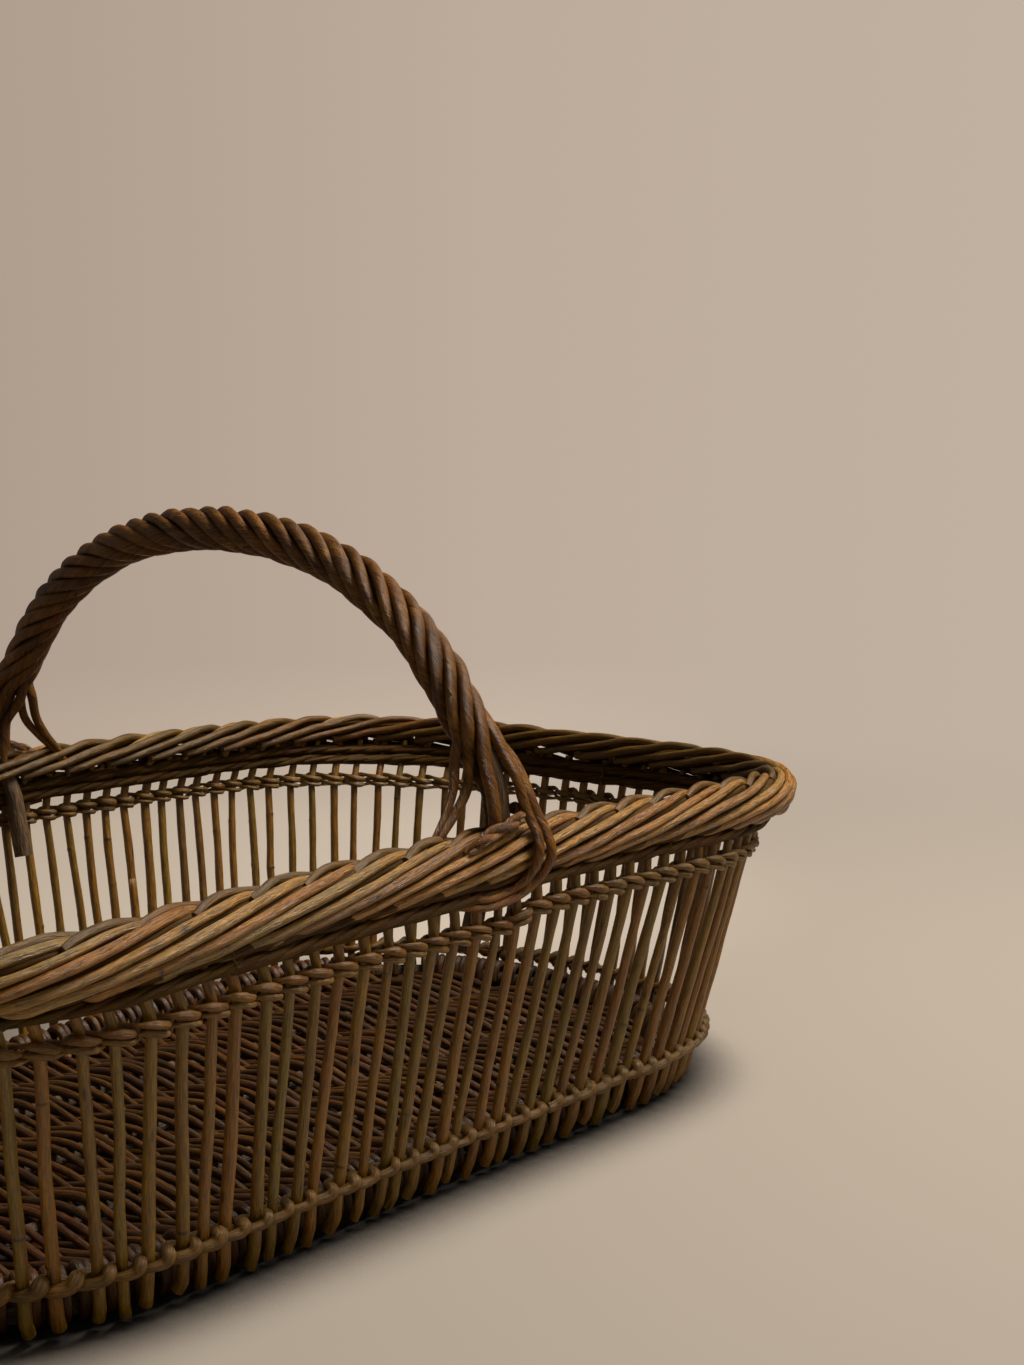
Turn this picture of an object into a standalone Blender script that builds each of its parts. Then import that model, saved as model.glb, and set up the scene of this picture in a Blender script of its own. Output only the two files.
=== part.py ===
# Oblong willow vegetable basket with an open staked wall, a rolled border and a fixed roped bow handle.
# Metres, +Z up, +X along the basket. The origin is the middle of the base, on the floor.
import math

import bmesh
import bpy
import numpy as np
from mathutils import Vector

# Half sizes and fullness of the plan at the floor, at the upper fitch and at the border's middle
BASE_HALF_LENGTH = 0.291
BASE_HALF_WIDTH = 0.153
BASE_FULLNESS = 2.2
END_FLARE = 0.026
SIDE_FLARE = 0.030
FITCH_HALF_LENGTH = BASE_HALF_LENGTH + END_FLARE
FITCH_HALF_WIDTH = BASE_HALF_WIDTH + SIDE_FLARE
FITCH_FULLNESS = 2.2
BORDER_END_SPREAD = 0.007
BORDER_SIDE_INSET = 0.003
BORDER_HALF_LENGTH = FITCH_HALF_LENGTH + BORDER_END_SPREAD
BORDER_HALF_WIDTH = FITCH_HALF_WIDTH - BORDER_SIDE_INSET
BORDER_FULLNESS = 3.2
ROUND_END_SHARE = 0.467
END_DROP = 0.009

# Heights of the border's middle and of the rows
BORDER_HEIGHT = 0.165
UPPER_FITCH_DROP = 0.0294
UPPER_FITCH_HEIGHT = BORDER_HEIGHT - UPPER_FITCH_DROP
LOWER_FITCH_HEIGHT = 0.0265

# Rods, as the willow was sorted by thickness
STAKE_DIAMETER = 0.005
STAKES_PER_PANEL = 10
PANEL_COUNT = 12
FITCH_ROD_DIAMETER = 0.0042
FITCH_TIE_HEIGHT = 0.006
WALE_ROD_DIAMETER = 0.0048
WALE_ROWS = 2
BORDER_DIAMETER = 0.0234
BORDER_GROOVE_DEPTH = 0.0021
BORDER_RODS_ROUND = 6
BORDER_TURNS = 8
EDGE_ROD_DIAMETER = 0.0055
EDGE_ROD_ANGLE = math.radians(150)

# Base of a bound frame, lengthwise sticks and a mat woven across them
FRAME_HEIGHT = 0.020
BASE_STICK_DIAMETER = 0.0085
BASE_STICK_COUNT = 3
MAT_ROD_DIAMETER = 0.0044
MAT_ROD_PITCH = 0.0056

# Bow handle: a thick core, roped with thinner rods, that crosses the basket at its middle
HANDLE_SIDE_INSET = 0.0035
HANDLE_HALF_SPAN = BORDER_HALF_WIDTH - HANDLE_SIDE_INSET
HANDLE_RISE = 0.142
HANDLE_FULLNESS = 2.12
HANDLE_OFFSET = 0.007
CORE_DIAMETER = 0.010
CORE_END_DROP = 0.047
CORE_END_HEIGHT = BORDER_HEIGHT - CORE_END_DROP
CORE_END_SIDE_INSET = 0.011
CORE_END_HALF_SPAN = HANDLE_HALF_SPAN - CORE_END_SIDE_INSET
ROPE_ROD_DIAMETER = 0.0066
ROPE_ROD_COUNT = 7
ROPE_TURN_LENGTH = 0.100
ROPE_START_RISE = 0.004
LAP_RUN = 0.024
LAP_RISE = 0.020
TAIL_RUN = 0.0265
TAIL_RISE = 0.042
TAIL_LEAN = 0.004

# Room between pieces that touch on the real basket
SEAT_GAP = 0.0003

# Smoothness of the rings and rods
END_STEPS = 12
STRAIGHT_STEPS = 2
BORDER_STEPS = 80
CORE_STEPS = 34
ROPE_STEPS_PER_TURN = 10
HIDDEN_SIDES = 4
ROPE_SIDES = 5
CORE_SIDES = 6
STAKE_SIDES = 6
TIED_STAKE_SIDES = (1, 4)
FRAME_SIDES = 8
OUTLINE_SAMPLES = 400
TURN_STEP_SHARE = 0.001
LEAN_REACH = STAKE_DIAMETER
SMOOTH_ANGLE = math.radians(50)
QUADRANTS = 4
UP = Vector((0, 0, 1))
STAKE_COUNT = STAKES_PER_PANEL * PANEL_COUNT
STAKE_RADIUS = STAKE_DIAMETER / 2
SIDE_SLOPE = (FITCH_HALF_WIDTH - BASE_HALF_WIDTH) / UPPER_FITCH_HEIGHT
LEAN_FACTOR = math.hypot(1, SIDE_SLOPE)
BORDER_RADIUS = BORDER_DIAMETER / 2

for old in list(bpy.data.objects):
    bpy.data.objects.remove(old, do_unlink=True)


def linear(channel):
    """One sRGB channel, 0 to 255, as a linear value."""
    value = channel / 255
    return value / 12.92 if value <= 0.04045 else ((value + 0.055) / 1.055) ** 2.4


def willow(name, red, green, blue, roughness):
    """A bark-on willow finish."""
    material = bpy.data.materials.new(name)
    material.use_nodes = True
    shader = material.node_tree.nodes["Principled BSDF"]
    shader.inputs["Base Color"].default_value = (linear(red), linear(green), linear(blue), 1)
    shader.inputs["Roughness"].default_value = roughness
    shader.inputs["Metallic"].default_value = 0
    return material


STAKE_BARK = willow("stake_bark", 104, 82, 50, 0.55)
FITCH_BARK = willow("fitch_bark", 92, 70, 42, 0.6)
WALE_BARK = willow("wale_bark", 70, 54, 36, 0.6)
BORDER_BARK = willow("border_bark", 132, 100, 62, 0.5)
BASE_BARK = willow("base_bark", 66, 48, 34, 0.65)
ROPE_BARK = willow("rope_bark", 92, 60, 36, 0.45)
CORE_BARK = willow("core_bark", 72, 52, 36, 0.6)


def even_outline(half_length, half_width, fullness):
    """A plan with straight sides and full round ends, as points an equal distance apart."""
    end_length = half_length * ROUND_END_SHARE
    angles = np.linspace(0, math.pi / 2, OUTLINE_SAMPLES + 1)
    xs = half_length - end_length + end_length * np.cos(angles).clip(0) ** (2 / fullness)
    ys = half_width * np.sin(angles) ** (2 / fullness)
    quarter = np.append(np.stack([xs, ys], axis=1), [[0, half_width]], axis=0)
    half = np.concatenate([quarter, quarter[-2::-1] * (-1, 1)])
    whole = np.concatenate([half, half[-2::-1] * (1, -1)])
    lengths = np.concatenate([[0], np.cumsum(np.linalg.norm(np.diff(whole, axis=0), axis=1))])
    wanted = np.linspace(0, lengths[-1], QUADRANTS * OUTLINE_SAMPLES + 1)
    return np.stack([np.interp(wanted, lengths, whole[:, axis]) for axis in (0, 1)], axis=1)


BASE_OUTLINE = even_outline(BASE_HALF_LENGTH, BASE_HALF_WIDTH, BASE_FULLNESS)
FITCH_OUTLINE = even_outline(FITCH_HALF_LENGTH, FITCH_HALF_WIDTH, FITCH_FULLNESS)
BORDER_OUTLINE = even_outline(BORDER_HALF_LENGTH, BORDER_HALF_WIDTH, BORDER_FULLNESS)


def level_point(turn, height):
    """A point of the wall's middle surface, which leans out and sinks towards both ends."""
    if height <= UPPER_FITCH_HEIGHT:
        share = height / UPPER_FITCH_HEIGHT
        outline = BASE_OUTLINE + (FITCH_OUTLINE - BASE_OUTLINE) * share
    else:
        share = (height - UPPER_FITCH_HEIGHT) / (BORDER_HEIGHT - UPPER_FITCH_HEIGHT)
        outline = FITCH_OUTLINE + (BORDER_OUTLINE - FITCH_OUTLINE) * share
    grid = np.linspace(0, QUADRANTS, len(outline))
    x, y = (float(np.interp(turn % QUADRANTS, grid, outline[:, axis])) for axis in (0, 1))
    drop_share = min(height / UPPER_FITCH_HEIGHT, 1) * (x / outline[0, 0]) ** 2
    return Vector((x, y, height - END_DROP * drop_share))


def wall_frame(turn, height):
    """Middle point, outward direction and direction along the wall, both level."""
    point = level_point(turn, height)
    along = level_point(turn + TURN_STEP_SHARE, height) - level_point(turn - TURN_STEP_SHARE, height)
    along.z = 0
    along.normalize()
    return point, along.cross(UP), along


def lean_factor(turn, height):
    """How much further out a level distance is than one square to the leaning wall."""
    point, outward, _ = wall_frame(turn, height)
    slopes = []
    for near in (max(height - LEAN_REACH, 0), height + LEAN_REACH):
        slopes.append(abs((level_point(turn, near) - point).dot(outward)) / LEAN_REACH)
    return math.hypot(1, max(slopes))


def ring_turns():
    """Turns of the ring stations: close at the round ends, sparse along the straight sides."""
    straight_length = FITCH_HALF_LENGTH * (1 - ROUND_END_SHARE)
    quadrant_length = np.linalg.norm(np.diff(FITCH_OUTLINE, axis=0), axis=1).sum() / QUADRANTS
    end_share = 1 - straight_length / quadrant_length
    quarter = [step / END_STEPS * end_share for step in range(END_STEPS)]
    quarter += [1 - (1 - end_share) * step / STRAIGHT_STEPS for step in range(STRAIGHT_STEPS, 0, -1)]
    half = quarter + [1] + [2 - turn for turn in reversed(quarter[1:])]
    return half + [turn + 2 for turn in half]


def ring_sag(height):
    """How far a ring's straight pieces cut inside its curve, at most."""
    turns = ring_turns()
    most = 0
    for turn, following in zip(turns, turns[1:]):
        chord = (level_point(turn, height) + level_point(following, height)) / 2
        most = max(most, (level_point((turn + following) / 2, height) - chord).length)
    return most


def even_turns(count, start_share=0.0):
    """Turns that divide the way round into equal lengths."""
    return [(index + start_share) / count * QUADRANTS for index in range(count)]


def add_object(name, mesh, material):
    """A named object from a finished bmesh, shaded smooth except at its sharp edges."""
    bmesh.ops.recalc_face_normals(mesh, faces=mesh.faces)
    data = bpy.data.meshes.new(name)
    mesh.to_mesh(data)
    mesh.free()
    data.shade_smooth()
    data.set_sharp_from_angle(angle=SMOOTH_ANGLE)
    data.materials.append(material)
    item = bpy.data.objects.new(name, data)
    bpy.context.scene.collection.objects.link(item)
    return item


def loft(name, rings, closed, material):
    """A solid through rings of points; an open one is capped at both ends."""
    mesh = bmesh.new()
    loops = [[mesh.verts.new(point) for point in ring] for ring in rings]
    pairs = list(zip(loops, loops[1:]))
    if closed:
        pairs.append((loops[-1], loops[0]))
    for first, second in pairs:
        for index in range(len(first)):
            following = (index + 1) % len(first)
            mesh.faces.new((first[index], first[following], second[following], second[index]))
    if not closed:
        mesh.faces.new(loops[0])
        mesh.faces.new(loops[-1])
    return add_object(name, mesh, material)


def section(centre, across, over, radii, start_angle):
    """A ring of points round a centre, one for each radius."""
    count = len(radii)
    ring = []
    for index, radius in enumerate(radii):
        angle = start_angle + index / count * math.tau
        ring.append(centre + across * radius * math.cos(angle) + over * radius * math.sin(angle))
    return ring


def ring_rod(name, height, out, diameter, material, sides=HIDDEN_SIDES):
    """A rod that runs all the way round the basket, at a distance outside the wall's middle."""
    rings = []
    sag = ring_sag(height) if out > 0 else 0
    for turn in ring_turns():
        point, outward, _ = wall_frame(turn, height)
        centre = point + outward * (out * lean_factor(turn, height) + sag)
        rings.append(section(centre, outward, UP, [diameter / 2] * sides, 0))
    return loft(name, rings, True, material)


def free_rod(name, points, diameter, material, sides, across):
    """A rod along a smooth row of points, its section's first corner carried along without a twist."""
    points = [Vector(point) for point in points]
    rings = []
    for index, point in enumerate(points):
        before = points[max(index - 1, 0)]
        after = points[min(index + 1, len(points) - 1)]
        tangent = (after - before).normalized()
        across = (across - tangent * across.dot(tangent)).normalized()
        rings.append(section(point, across, tangent.cross(across), [diameter / 2] * sides, 0))
    return loft(name, rings, False, material)


# Base: its frame bound with the mat's rod ends, whose flat underside the basket rests on
FRAME_RADIUS = FRAME_HEIGHT / 2
FRAME_CORNER_RADIUS = FRAME_RADIUS / math.cos(math.pi / FRAME_SIDES)
FRAME_INSET = (STAKE_RADIUS + SEAT_GAP + FRAME_CORNER_RADIUS) * LEAN_FACTOR


def base_frame():
    rings = []
    for turn in ring_turns():
        point, outward, _ = wall_frame(turn, FRAME_RADIUS)
        point.z = FRAME_RADIUS
        centre = point - outward * FRAME_INSET
        radii = [FRAME_CORNER_RADIUS] * FRAME_SIDES
        rings.append(section(centre, outward, UP, radii, math.pi / FRAME_SIDES))
    loft("base_frame", rings, True, BASE_BARK)


def base_edge():
    """Inner edge of the bound frame, in plan, less the seat gap."""
    edge = []
    for turn in ring_turns():
        point, outward, _ = wall_frame(turn, FRAME_RADIUS)
        edge.append(point - outward * (FRAME_INSET + FRAME_RADIUS + SEAT_GAP))
    return edge


def base_stick_places():
    """Distances of the lengthwise sticks from the basket's middle line."""
    inner_half_width = max(point.y for point in base_edge())
    spacing = 2 * inner_half_width / (BASE_STICK_COUNT + 1)
    return [spacing * (index + 1) - inner_half_width for index in range(BASE_STICK_COUNT)]


def base_sticks():
    quarter = sorted((point for point in base_edge() if point.x > 0 and point.y >= 0), key=lambda p: p.y)
    for number, place in enumerate(base_stick_places(), 1):
        far_side = abs(place) + BASE_STICK_DIAMETER / 2
        reach = float(np.interp(far_side, [p.y for p in quarter], [p.x for p in quarter]))
        ends = [(-reach, place, FRAME_RADIUS), (reach, place, FRAME_RADIUS)]
        free_rod(f"base_stick_{number}", ends, BASE_STICK_DIAMETER, CORE_BARK, FRAME_SIDES, UP)


def base_mats():
    """The mat as the strips between the sticks, its rods over one stick and under the next in turn."""
    clear = BASE_STICK_DIAMETER / 2 + SEAT_GAP
    places = base_stick_places()
    lows = [-math.inf] + [place + clear for place in places]
    highs = [place - clear for place in places] + [math.inf]
    quarter = sorted((point for point in base_edge() if point.x >= 0 and point.y >= 0), key=lambda p: p.x)
    edge_xs = [point.x for point in quarter]
    edge_ys = [point.y for point in quarter]
    wave = clear + MAT_ROD_DIAMETER / 2
    rod_count = int(2 * edge_xs[-1] / MAT_ROD_PITCH)
    for number, (low, high) in enumerate(zip(lows, highs), 1):
        rings = []
        for rod in range(rod_count):
            x = (rod - (rod_count - 1) / 2) * MAT_ROD_PITCH
            half_width = float(np.interp(abs(x), edge_xs, edge_ys))
            near, far = max(low, -half_width), min(high, half_width)
            if far - near < MAT_ROD_PITCH:
                continue
            ring = []
            for y, half_thickness in ((near, -1), (far, -1), (far, 1), (near, 1)):
                rise = wave * math.cos(math.pi * (y / (places[1] - places[0]) + rod))
                ring.append(Vector((x, y, FRAME_RADIUS + rise + half_thickness * MAT_ROD_DIAMETER / 2)))
            rings.append(ring)
        loft(f"base_mat_{number}", rings, False, BASE_BARK)


# Wall: stakes from the floor to the border, tied side by side by the upper fitch
WALE_TOP_HEIGHT = BORDER_HEIGHT - BORDER_RADIUS - WALE_ROD_DIAMETER / 2 - 2 * SEAT_GAP
STAKE_TOP_HEIGHT = BORDER_HEIGHT - BORDER_RADIUS - SEAT_GAP


def stake(mesh, turn):
    """One stake in a panel's mesh; returns its two side faces at the tie."""
    heights = (
        0,
        UPPER_FITCH_HEIGHT - FITCH_TIE_HEIGHT / 2,
        UPPER_FITCH_HEIGHT + FITCH_TIE_HEIGHT / 2,
        STAKE_TOP_HEIGHT,
    )
    loops = []
    for height in heights:
        point, outward, along = wall_frame(turn, height)
        ring = section(point, outward, along, [STAKE_RADIUS] * STAKE_SIDES, 0)
        loops.append([mesh.verts.new(corner) for corner in ring])
    sides = []
    for level, (first, second) in enumerate(zip(loops, loops[1:])):
        for index in range(STAKE_SIDES):
            following = (index + 1) % STAKE_SIDES
            corners = (first[index], first[following], second[following], second[index])
            face = mesh.faces.new(corners)
            if level == 1 and index in TIED_STAKE_SIDES:
                sides.append(face)
    mesh.faces.new(loops[0])
    mesh.faces.new(loops[-1])
    return sides


def join_faces(mesh, first, second):
    """A tie between two facing sides of neighbouring stakes."""
    edges = list(first.edges) + list(second.edges)
    bmesh.ops.delete(mesh, geom=[first, second], context="FACES_ONLY")
    bmesh.ops.bridge_loops(mesh, edges=edges)


def half_tie(mesh, face, inner, outer):
    """A tie's half at a panel's end, up to the middle between two stakes."""
    corners = list(face.verts)
    middle = sum((corner.co for corner in corners), Vector()) / len(corners)
    grown = bmesh.ops.extrude_discrete_faces(mesh, faces=[face])["faces"][0]
    centre = (inner + outer) / 2 - (outer - inner).normalized() * SEAT_GAP
    centre.z = middle.z
    bmesh.ops.translate(mesh, vec=centre - middle, verts=list(grown.verts))


def wall_panels():
    turns = even_turns(STAKE_COUNT, start_share=1 / 2)
    ties = [wall_frame(turn, UPPER_FITCH_HEIGHT)[0] for turn in turns]
    for panel in range(PANEL_COUNT):
        first = panel * STAKES_PER_PANEL
        mesh = bmesh.new()
        sides = [stake(mesh, turns[first + index]) for index in range(STAKES_PER_PANEL)]
        half_tie(mesh, sides[0][1], ties[first], ties[first - 1])
        last = first + STAKES_PER_PANEL - 1
        half_tie(mesh, sides[-1][0], ties[last], ties[(last + 1) % STAKE_COUNT])
        for left, right in zip(sides, sides[1:]):
            join_faces(mesh, left[0], right[1])
        add_object(f"stake_panel_{panel + 1:02d}", mesh, STAKE_BARK)


# Fitches: each row is a pair of rods, one passing outside the stakes and one inside
def fitches():
    out = STAKE_RADIUS + SEAT_GAP + FITCH_ROD_DIAMETER / 2
    for row, height in (("lower", LOWER_FITCH_HEIGHT), ("upper", UPPER_FITCH_HEIGHT)):
        ring_rod(f"{row}_fitch_outer", height, out, FITCH_ROD_DIAMETER, FITCH_BARK)
        ring_rod(f"{row}_fitch_inner", height, -out, FITCH_ROD_DIAMETER, FITCH_BARK)


# Wale: rods laid round the stakes just under the border
def wales():
    out = STAKE_RADIUS + SEAT_GAP + WALE_ROD_DIAMETER / 2
    for row in range(WALE_ROWS):
        height = WALE_TOP_HEIGHT - row * (WALE_ROD_DIAMETER + SEAT_GAP)
        ring_rod(f"wale_rod_{row + 1}", height, out, WALE_ROD_DIAMETER, WALE_BARK)


# Handle: the bow's middle line, from end to end, and the frame that its rods turn in
def bow_side_points():
    """Points of the bow's middle line on the far half, from the top of the bow to the core's end."""
    points = []
    for step in range(CORE_STEPS + 1):
        angle = step / CORE_STEPS * math.pi / 2
        y = HANDLE_HALF_SPAN * math.sin(angle) ** (2 / HANDLE_FULLNESS)
        z = BORDER_HEIGHT + HANDLE_RISE * max(math.cos(angle), 0) ** (2 / HANDLE_FULLNESS)
        points.append((y, z))
    points.append((CORE_END_HALF_SPAN, CORE_END_HEIGHT))
    return points


def bow_points(count):
    """Evenly spaced points of the whole middle line, from the front end to the far end."""
    side = bow_side_points()
    whole = [(-y, z) for y, z in reversed(side)] + side[1:]
    places = np.array(whole)
    lengths = np.concatenate([[0], np.cumsum(np.linalg.norm(np.diff(places, axis=0), axis=1))])
    wanted = np.linspace(0, lengths[-1], count)
    ys = np.interp(wanted, lengths, places[:, 0])
    zs = np.interp(wanted, lengths, places[:, 1])
    return [Vector((HANDLE_OFFSET, y, z)) for y, z in zip(ys, zs)]


def core_rod(name, diameter):
    points = bow_points(CORE_STEPS + 1)
    rings = []
    side = Vector((1, 0, 0))
    for index, point in enumerate(points):
        before = points[max(index - 1, 0)]
        after = points[min(index + 1, len(points) - 1)]
        over = side.cross((after - before).normalized())
        rings.append(section(point, side, over, [diameter / 2] * CORE_SIDES, 0))
    return loft(name, rings, False, CORE_BARK)


def roping():
    """The thinner rods laid side by side round the core, as a rope."""
    turn_radius = CORE_DIAMETER / 2 + SEAT_GAP + ROPE_ROD_DIAMETER / 2
    turn_radius /= math.cos(math.pi / ROPE_STEPS_PER_TURN)
    start_height = BORDER_HEIGHT + BORDER_RADIUS + ROPE_START_RISE
    bow = [point for point in bow_points(OUTLINE_SAMPLES) if point.z >= start_height]
    length = sum((b - a).length for a, b in zip(bow, bow[1:]))
    steps = round(length / ROPE_TURN_LENGTH * ROPE_STEPS_PER_TURN)
    side = Vector((1, 0, 0))
    picks = [round(step / steps * (len(bow) - 1)) for step in range(steps + 1)]
    for rod in range(ROPE_ROD_COUNT):
        centres = []
        spokes = []
        for pick in picks:
            before = bow[max(pick - 1, 0)]
            after = bow[min(pick + 1, len(bow) - 1)]
            over = side.cross((after - before).normalized())
            share = pick / (len(bow) - 1) * length / ROPE_TURN_LENGTH
            angle = math.tau * (rod / ROPE_ROD_COUNT - share)
            spoke = side * math.cos(angle) + over * math.sin(angle)
            centres.append(bow[pick] + spoke * turn_radius)
            spokes.append(spoke)
        rings = []
        for index, centre in enumerate(centres):
            before = centres[max(index - 1, 0)]
            after = centres[min(index + 1, len(centres) - 1)]
            tangent = (after - before).normalized()
            spoke = spokes[index]
            spoke = (spoke - tangent * spoke.dot(tangent)).normalized()
            radii = [ROPE_ROD_DIAMETER / 2] * ROPE_SIDES
            rings.append(section(centre, spoke, tangent.cross(spoke), radii, math.pi))
        loft(f"handle_rope_rod_{rod + 1}", rings, False, ROPE_BARK)


# Border: the stakes' own tips rolled down over each other, as one grooved roll
EDGE_ROD_REACH = BORDER_RADIUS + SEAT_GAP + EDGE_ROD_DIAMETER / 2
EDGE_ROD_OUT = EDGE_ROD_REACH * math.cos(EDGE_ROD_ANGLE)
EDGE_ROD_RISE = EDGE_ROD_REACH * math.sin(EDGE_ROD_ANGLE)


def border():
    radii = [BORDER_RADIUS, BORDER_RADIUS - BORDER_GROOVE_DEPTH] * BORDER_RODS_ROUND
    rings = []
    for step, turn in enumerate(even_turns(BORDER_STEPS)):
        point, outward, _ = wall_frame(turn, BORDER_HEIGHT)
        angle = math.tau * BORDER_TURNS * step / BORDER_STEPS
        rings.append(section(point, outward, UP, radii, angle))
    roll = loft("border_roll", rings, True, BORDER_BARK)
    cutter = core_rod("core_hole", CORE_DIAMETER + 2 * SEAT_GAP)
    cutter.hide_render = True
    cutter.display_type = "WIRE"
    hole = roll.modifiers.new("core_hole", "BOOLEAN")
    hole.operation = "DIFFERENCE"
    hole.solver = "EXACT"
    hole.object = cutter
    rings = []
    for turn in ring_turns():
        point, outward, _ = wall_frame(turn, BORDER_HEIGHT)
        centre = point + outward * EDGE_ROD_OUT + UP * EDGE_ROD_RISE
        rings.append(section(centre, outward, UP, [EDGE_ROD_DIAMETER / 2] * ROPE_SIDES, math.pi))
    loft("border_edge_rod", rings, True, BORDER_BARK)


# Rod ends that fasten each foot of the handle: one laps the border, one tucks in behind it
def foot_rods():
    lap_radius = BORDER_RADIUS + SEAT_GAP + ROPE_ROD_DIAMETER / 2
    rope_radius = CORE_DIAMETER / 2 + 2 * SEAT_GAP + ROPE_ROD_DIAMETER
    lap_angles = [math.radians(angle) for angle in (88, 60, 35, 10, -12, -30, -42)]
    lap_start_share = 0.62
    lap_shares = (0.95, 1.05, 1.08, 0.95, 0.65, 0.2, -0.4)
    tail_shares = (0, 0.2, 0.45, 0.7, 1.0)
    for foot, side in (("front", -1), ("far", 1)):
        middle = Vector((HANDLE_OFFSET, side * BORDER_HALF_WIDTH, BORDER_HEIGHT))
        points = [middle + Vector((-side * LAP_RUN * lap_start_share, 0, lap_radius + LAP_RISE))]
        for angle, share in zip(lap_angles, lap_shares):
            out = side * lap_radius * math.cos(angle)
            points.append(middle + Vector((-side * LAP_RUN * share, out, lap_radius * math.sin(angle))))
        inward = Vector((0, -side, 0))
        free_rod(f"handle_lap_{foot}", points, ROPE_ROD_DIAMETER, ROPE_BARK, ROPE_SIDES, inward)
        low_out = EDGE_ROD_OUT - EDGE_ROD_DIAMETER / 2 - 2 * SEAT_GAP - ROPE_ROD_DIAMETER / 2
        low_rise = EDGE_ROD_RISE - ROPE_ROD_DIAMETER / 2
        low = middle + Vector((side * TAIL_RUN, side * low_out, low_rise))
        high_y = side * (HANDLE_HALF_SPAN - TAIL_LEAN - rope_radius)
        high = Vector((HANDLE_OFFSET + side * rope_radius, high_y, BORDER_HEIGHT + TAIL_RISE))
        points = [high.lerp(low, share) for share in tail_shares]
        free_rod(f"handle_tail_{foot}", points, ROPE_ROD_DIAMETER, ROPE_BARK, ROPE_SIDES, -inward)


base_frame()
base_sticks()
base_mats()
wall_panels()
fitches()
wales()
border()
core_rod("handle_core", CORE_DIAMETER)
roping()
foot_rods()
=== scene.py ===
import math

import bpy
import numpy as np
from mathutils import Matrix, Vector


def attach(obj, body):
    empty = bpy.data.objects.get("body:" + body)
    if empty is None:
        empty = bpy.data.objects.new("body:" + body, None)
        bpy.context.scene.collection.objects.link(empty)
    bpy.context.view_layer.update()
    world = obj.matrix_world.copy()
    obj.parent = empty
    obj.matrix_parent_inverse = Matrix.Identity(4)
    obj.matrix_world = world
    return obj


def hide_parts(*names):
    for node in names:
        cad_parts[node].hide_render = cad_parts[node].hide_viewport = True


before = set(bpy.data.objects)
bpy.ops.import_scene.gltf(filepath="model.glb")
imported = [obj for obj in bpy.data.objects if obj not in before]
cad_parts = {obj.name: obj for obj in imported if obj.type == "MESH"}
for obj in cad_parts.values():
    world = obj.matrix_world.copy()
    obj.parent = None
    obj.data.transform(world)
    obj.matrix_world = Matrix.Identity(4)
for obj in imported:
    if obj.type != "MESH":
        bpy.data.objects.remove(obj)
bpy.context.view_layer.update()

# Camera, at the photograph's place and angle.
# It stands a little above the handle, off the front left end, and looks slightly down.
CAMERA_PLACE = Vector((-0.6939, -0.7713, 0.3548))
CAMERA_YAW = 0.691
CAMERA_PITCH = -0.121
CAMERA_FOCAL_PIXELS = 2053
CAMERA_CLIP_START = 0.01
FRAME_PIXELS_HIGH = 1365
SENSOR_HEIGHT_MM = 36

forward = Vector((
    math.cos(CAMERA_PITCH) * math.cos(CAMERA_YAW),
    math.cos(CAMERA_PITCH) * math.sin(CAMERA_YAW),
    math.sin(CAMERA_PITCH),
))
camera_data = bpy.data.cameras.new("camera")
camera_data.sensor_fit = "VERTICAL"
camera_data.sensor_height = SENSOR_HEIGHT_MM
camera_data.lens = CAMERA_FOCAL_PIXELS / FRAME_PIXELS_HIGH * SENSOR_HEIGHT_MM
camera_data.clip_start = CAMERA_CLIP_START
camera = bpy.data.objects.new("camera", camera_data)
camera.location = CAMERA_PLACE
camera.rotation_euler = forward.to_track_quat("-Z", "Y").to_euler()
bpy.context.scene.collection.objects.link(camera)
bpy.context.scene.camera = camera
bpy.context.scene.view_settings.view_transform = "Standard"

# Stage: floor paper that fades into a pale backdrop, lit by a large soft window on the right and a weak
# fill. A painted pool of light lies behind the basket, on the paper and low in the backdrop. The backdrop
# is painted darker to the left, and painted shadow darkens the paper close to the base. The camera alone
# sees the backdrop's colour, so it adds no light of its own.
# Painted shading: the backdrop runs from darker on the left to paler on the right.
BACKDROP_SHADES = [(0.0, "AF9E8E"), (0.5, "BDAC9B"), (1.0, "C1B1A0")]
BACKDROP_SIDES = (-0.24, 0.24)
# Painted pool of light, low in the backdrop and on the picture's left: its shades, and where it starts and is
# full.
BACKDROP_PAINTED_POOL_SHADES = [(0.0, "C0AE9A"), (0.35, "CFBDA9"), (0.6, "D2C1AF")]
BACKDROP_PAINTED_POOL_HEIGHTS = (-0.11, -0.19)
BACKDROP_PAINTED_POOL_SIDES = (0.12, 0.0)
SKY_LIGHT = "FFF3E4"
SKY_STRENGTH = 0.13
FLOOR_SHADE = "A8A197"
# Painted pool of light on the paper: its paler shade, its middle, and the reaches where it starts and is
# full.
FLOOR_PAINTED_POOL_SHADE = "C1B9AD"
FLOOR_PAINTED_POOL_PLACE = (0.40, 0.45, 0)
FLOOR_PAINTED_POOL_REACH = (0.52, 0.24)
FLOOR_FADE_REACH = (0.42, 1.5)
FLOOR_ROUGHNESS = 0.9
FLOOR_HALF_SIZE = 4.0
# Painted shadow: the paper darkens by these stops where other surfaces lie within this reach.
PAINTED_CONTACT_SHADOW_REACH = 0.045
PAINTED_CONTACT_SHADOW_SHADES = [(0.42, 0.03), (0.90, 1.0)]


def colour(hex_code):
    """A hex colour, as it looks on screen, made linear."""
    channels = [int(hex_code[index:index + 2], 16) / 255 for index in (0, 2, 4)]
    return tuple(c / 12.92 if c <= 0.04045 else ((c + 0.055) / 1.055) ** 2.4 for c in channels) + (1,)


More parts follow.
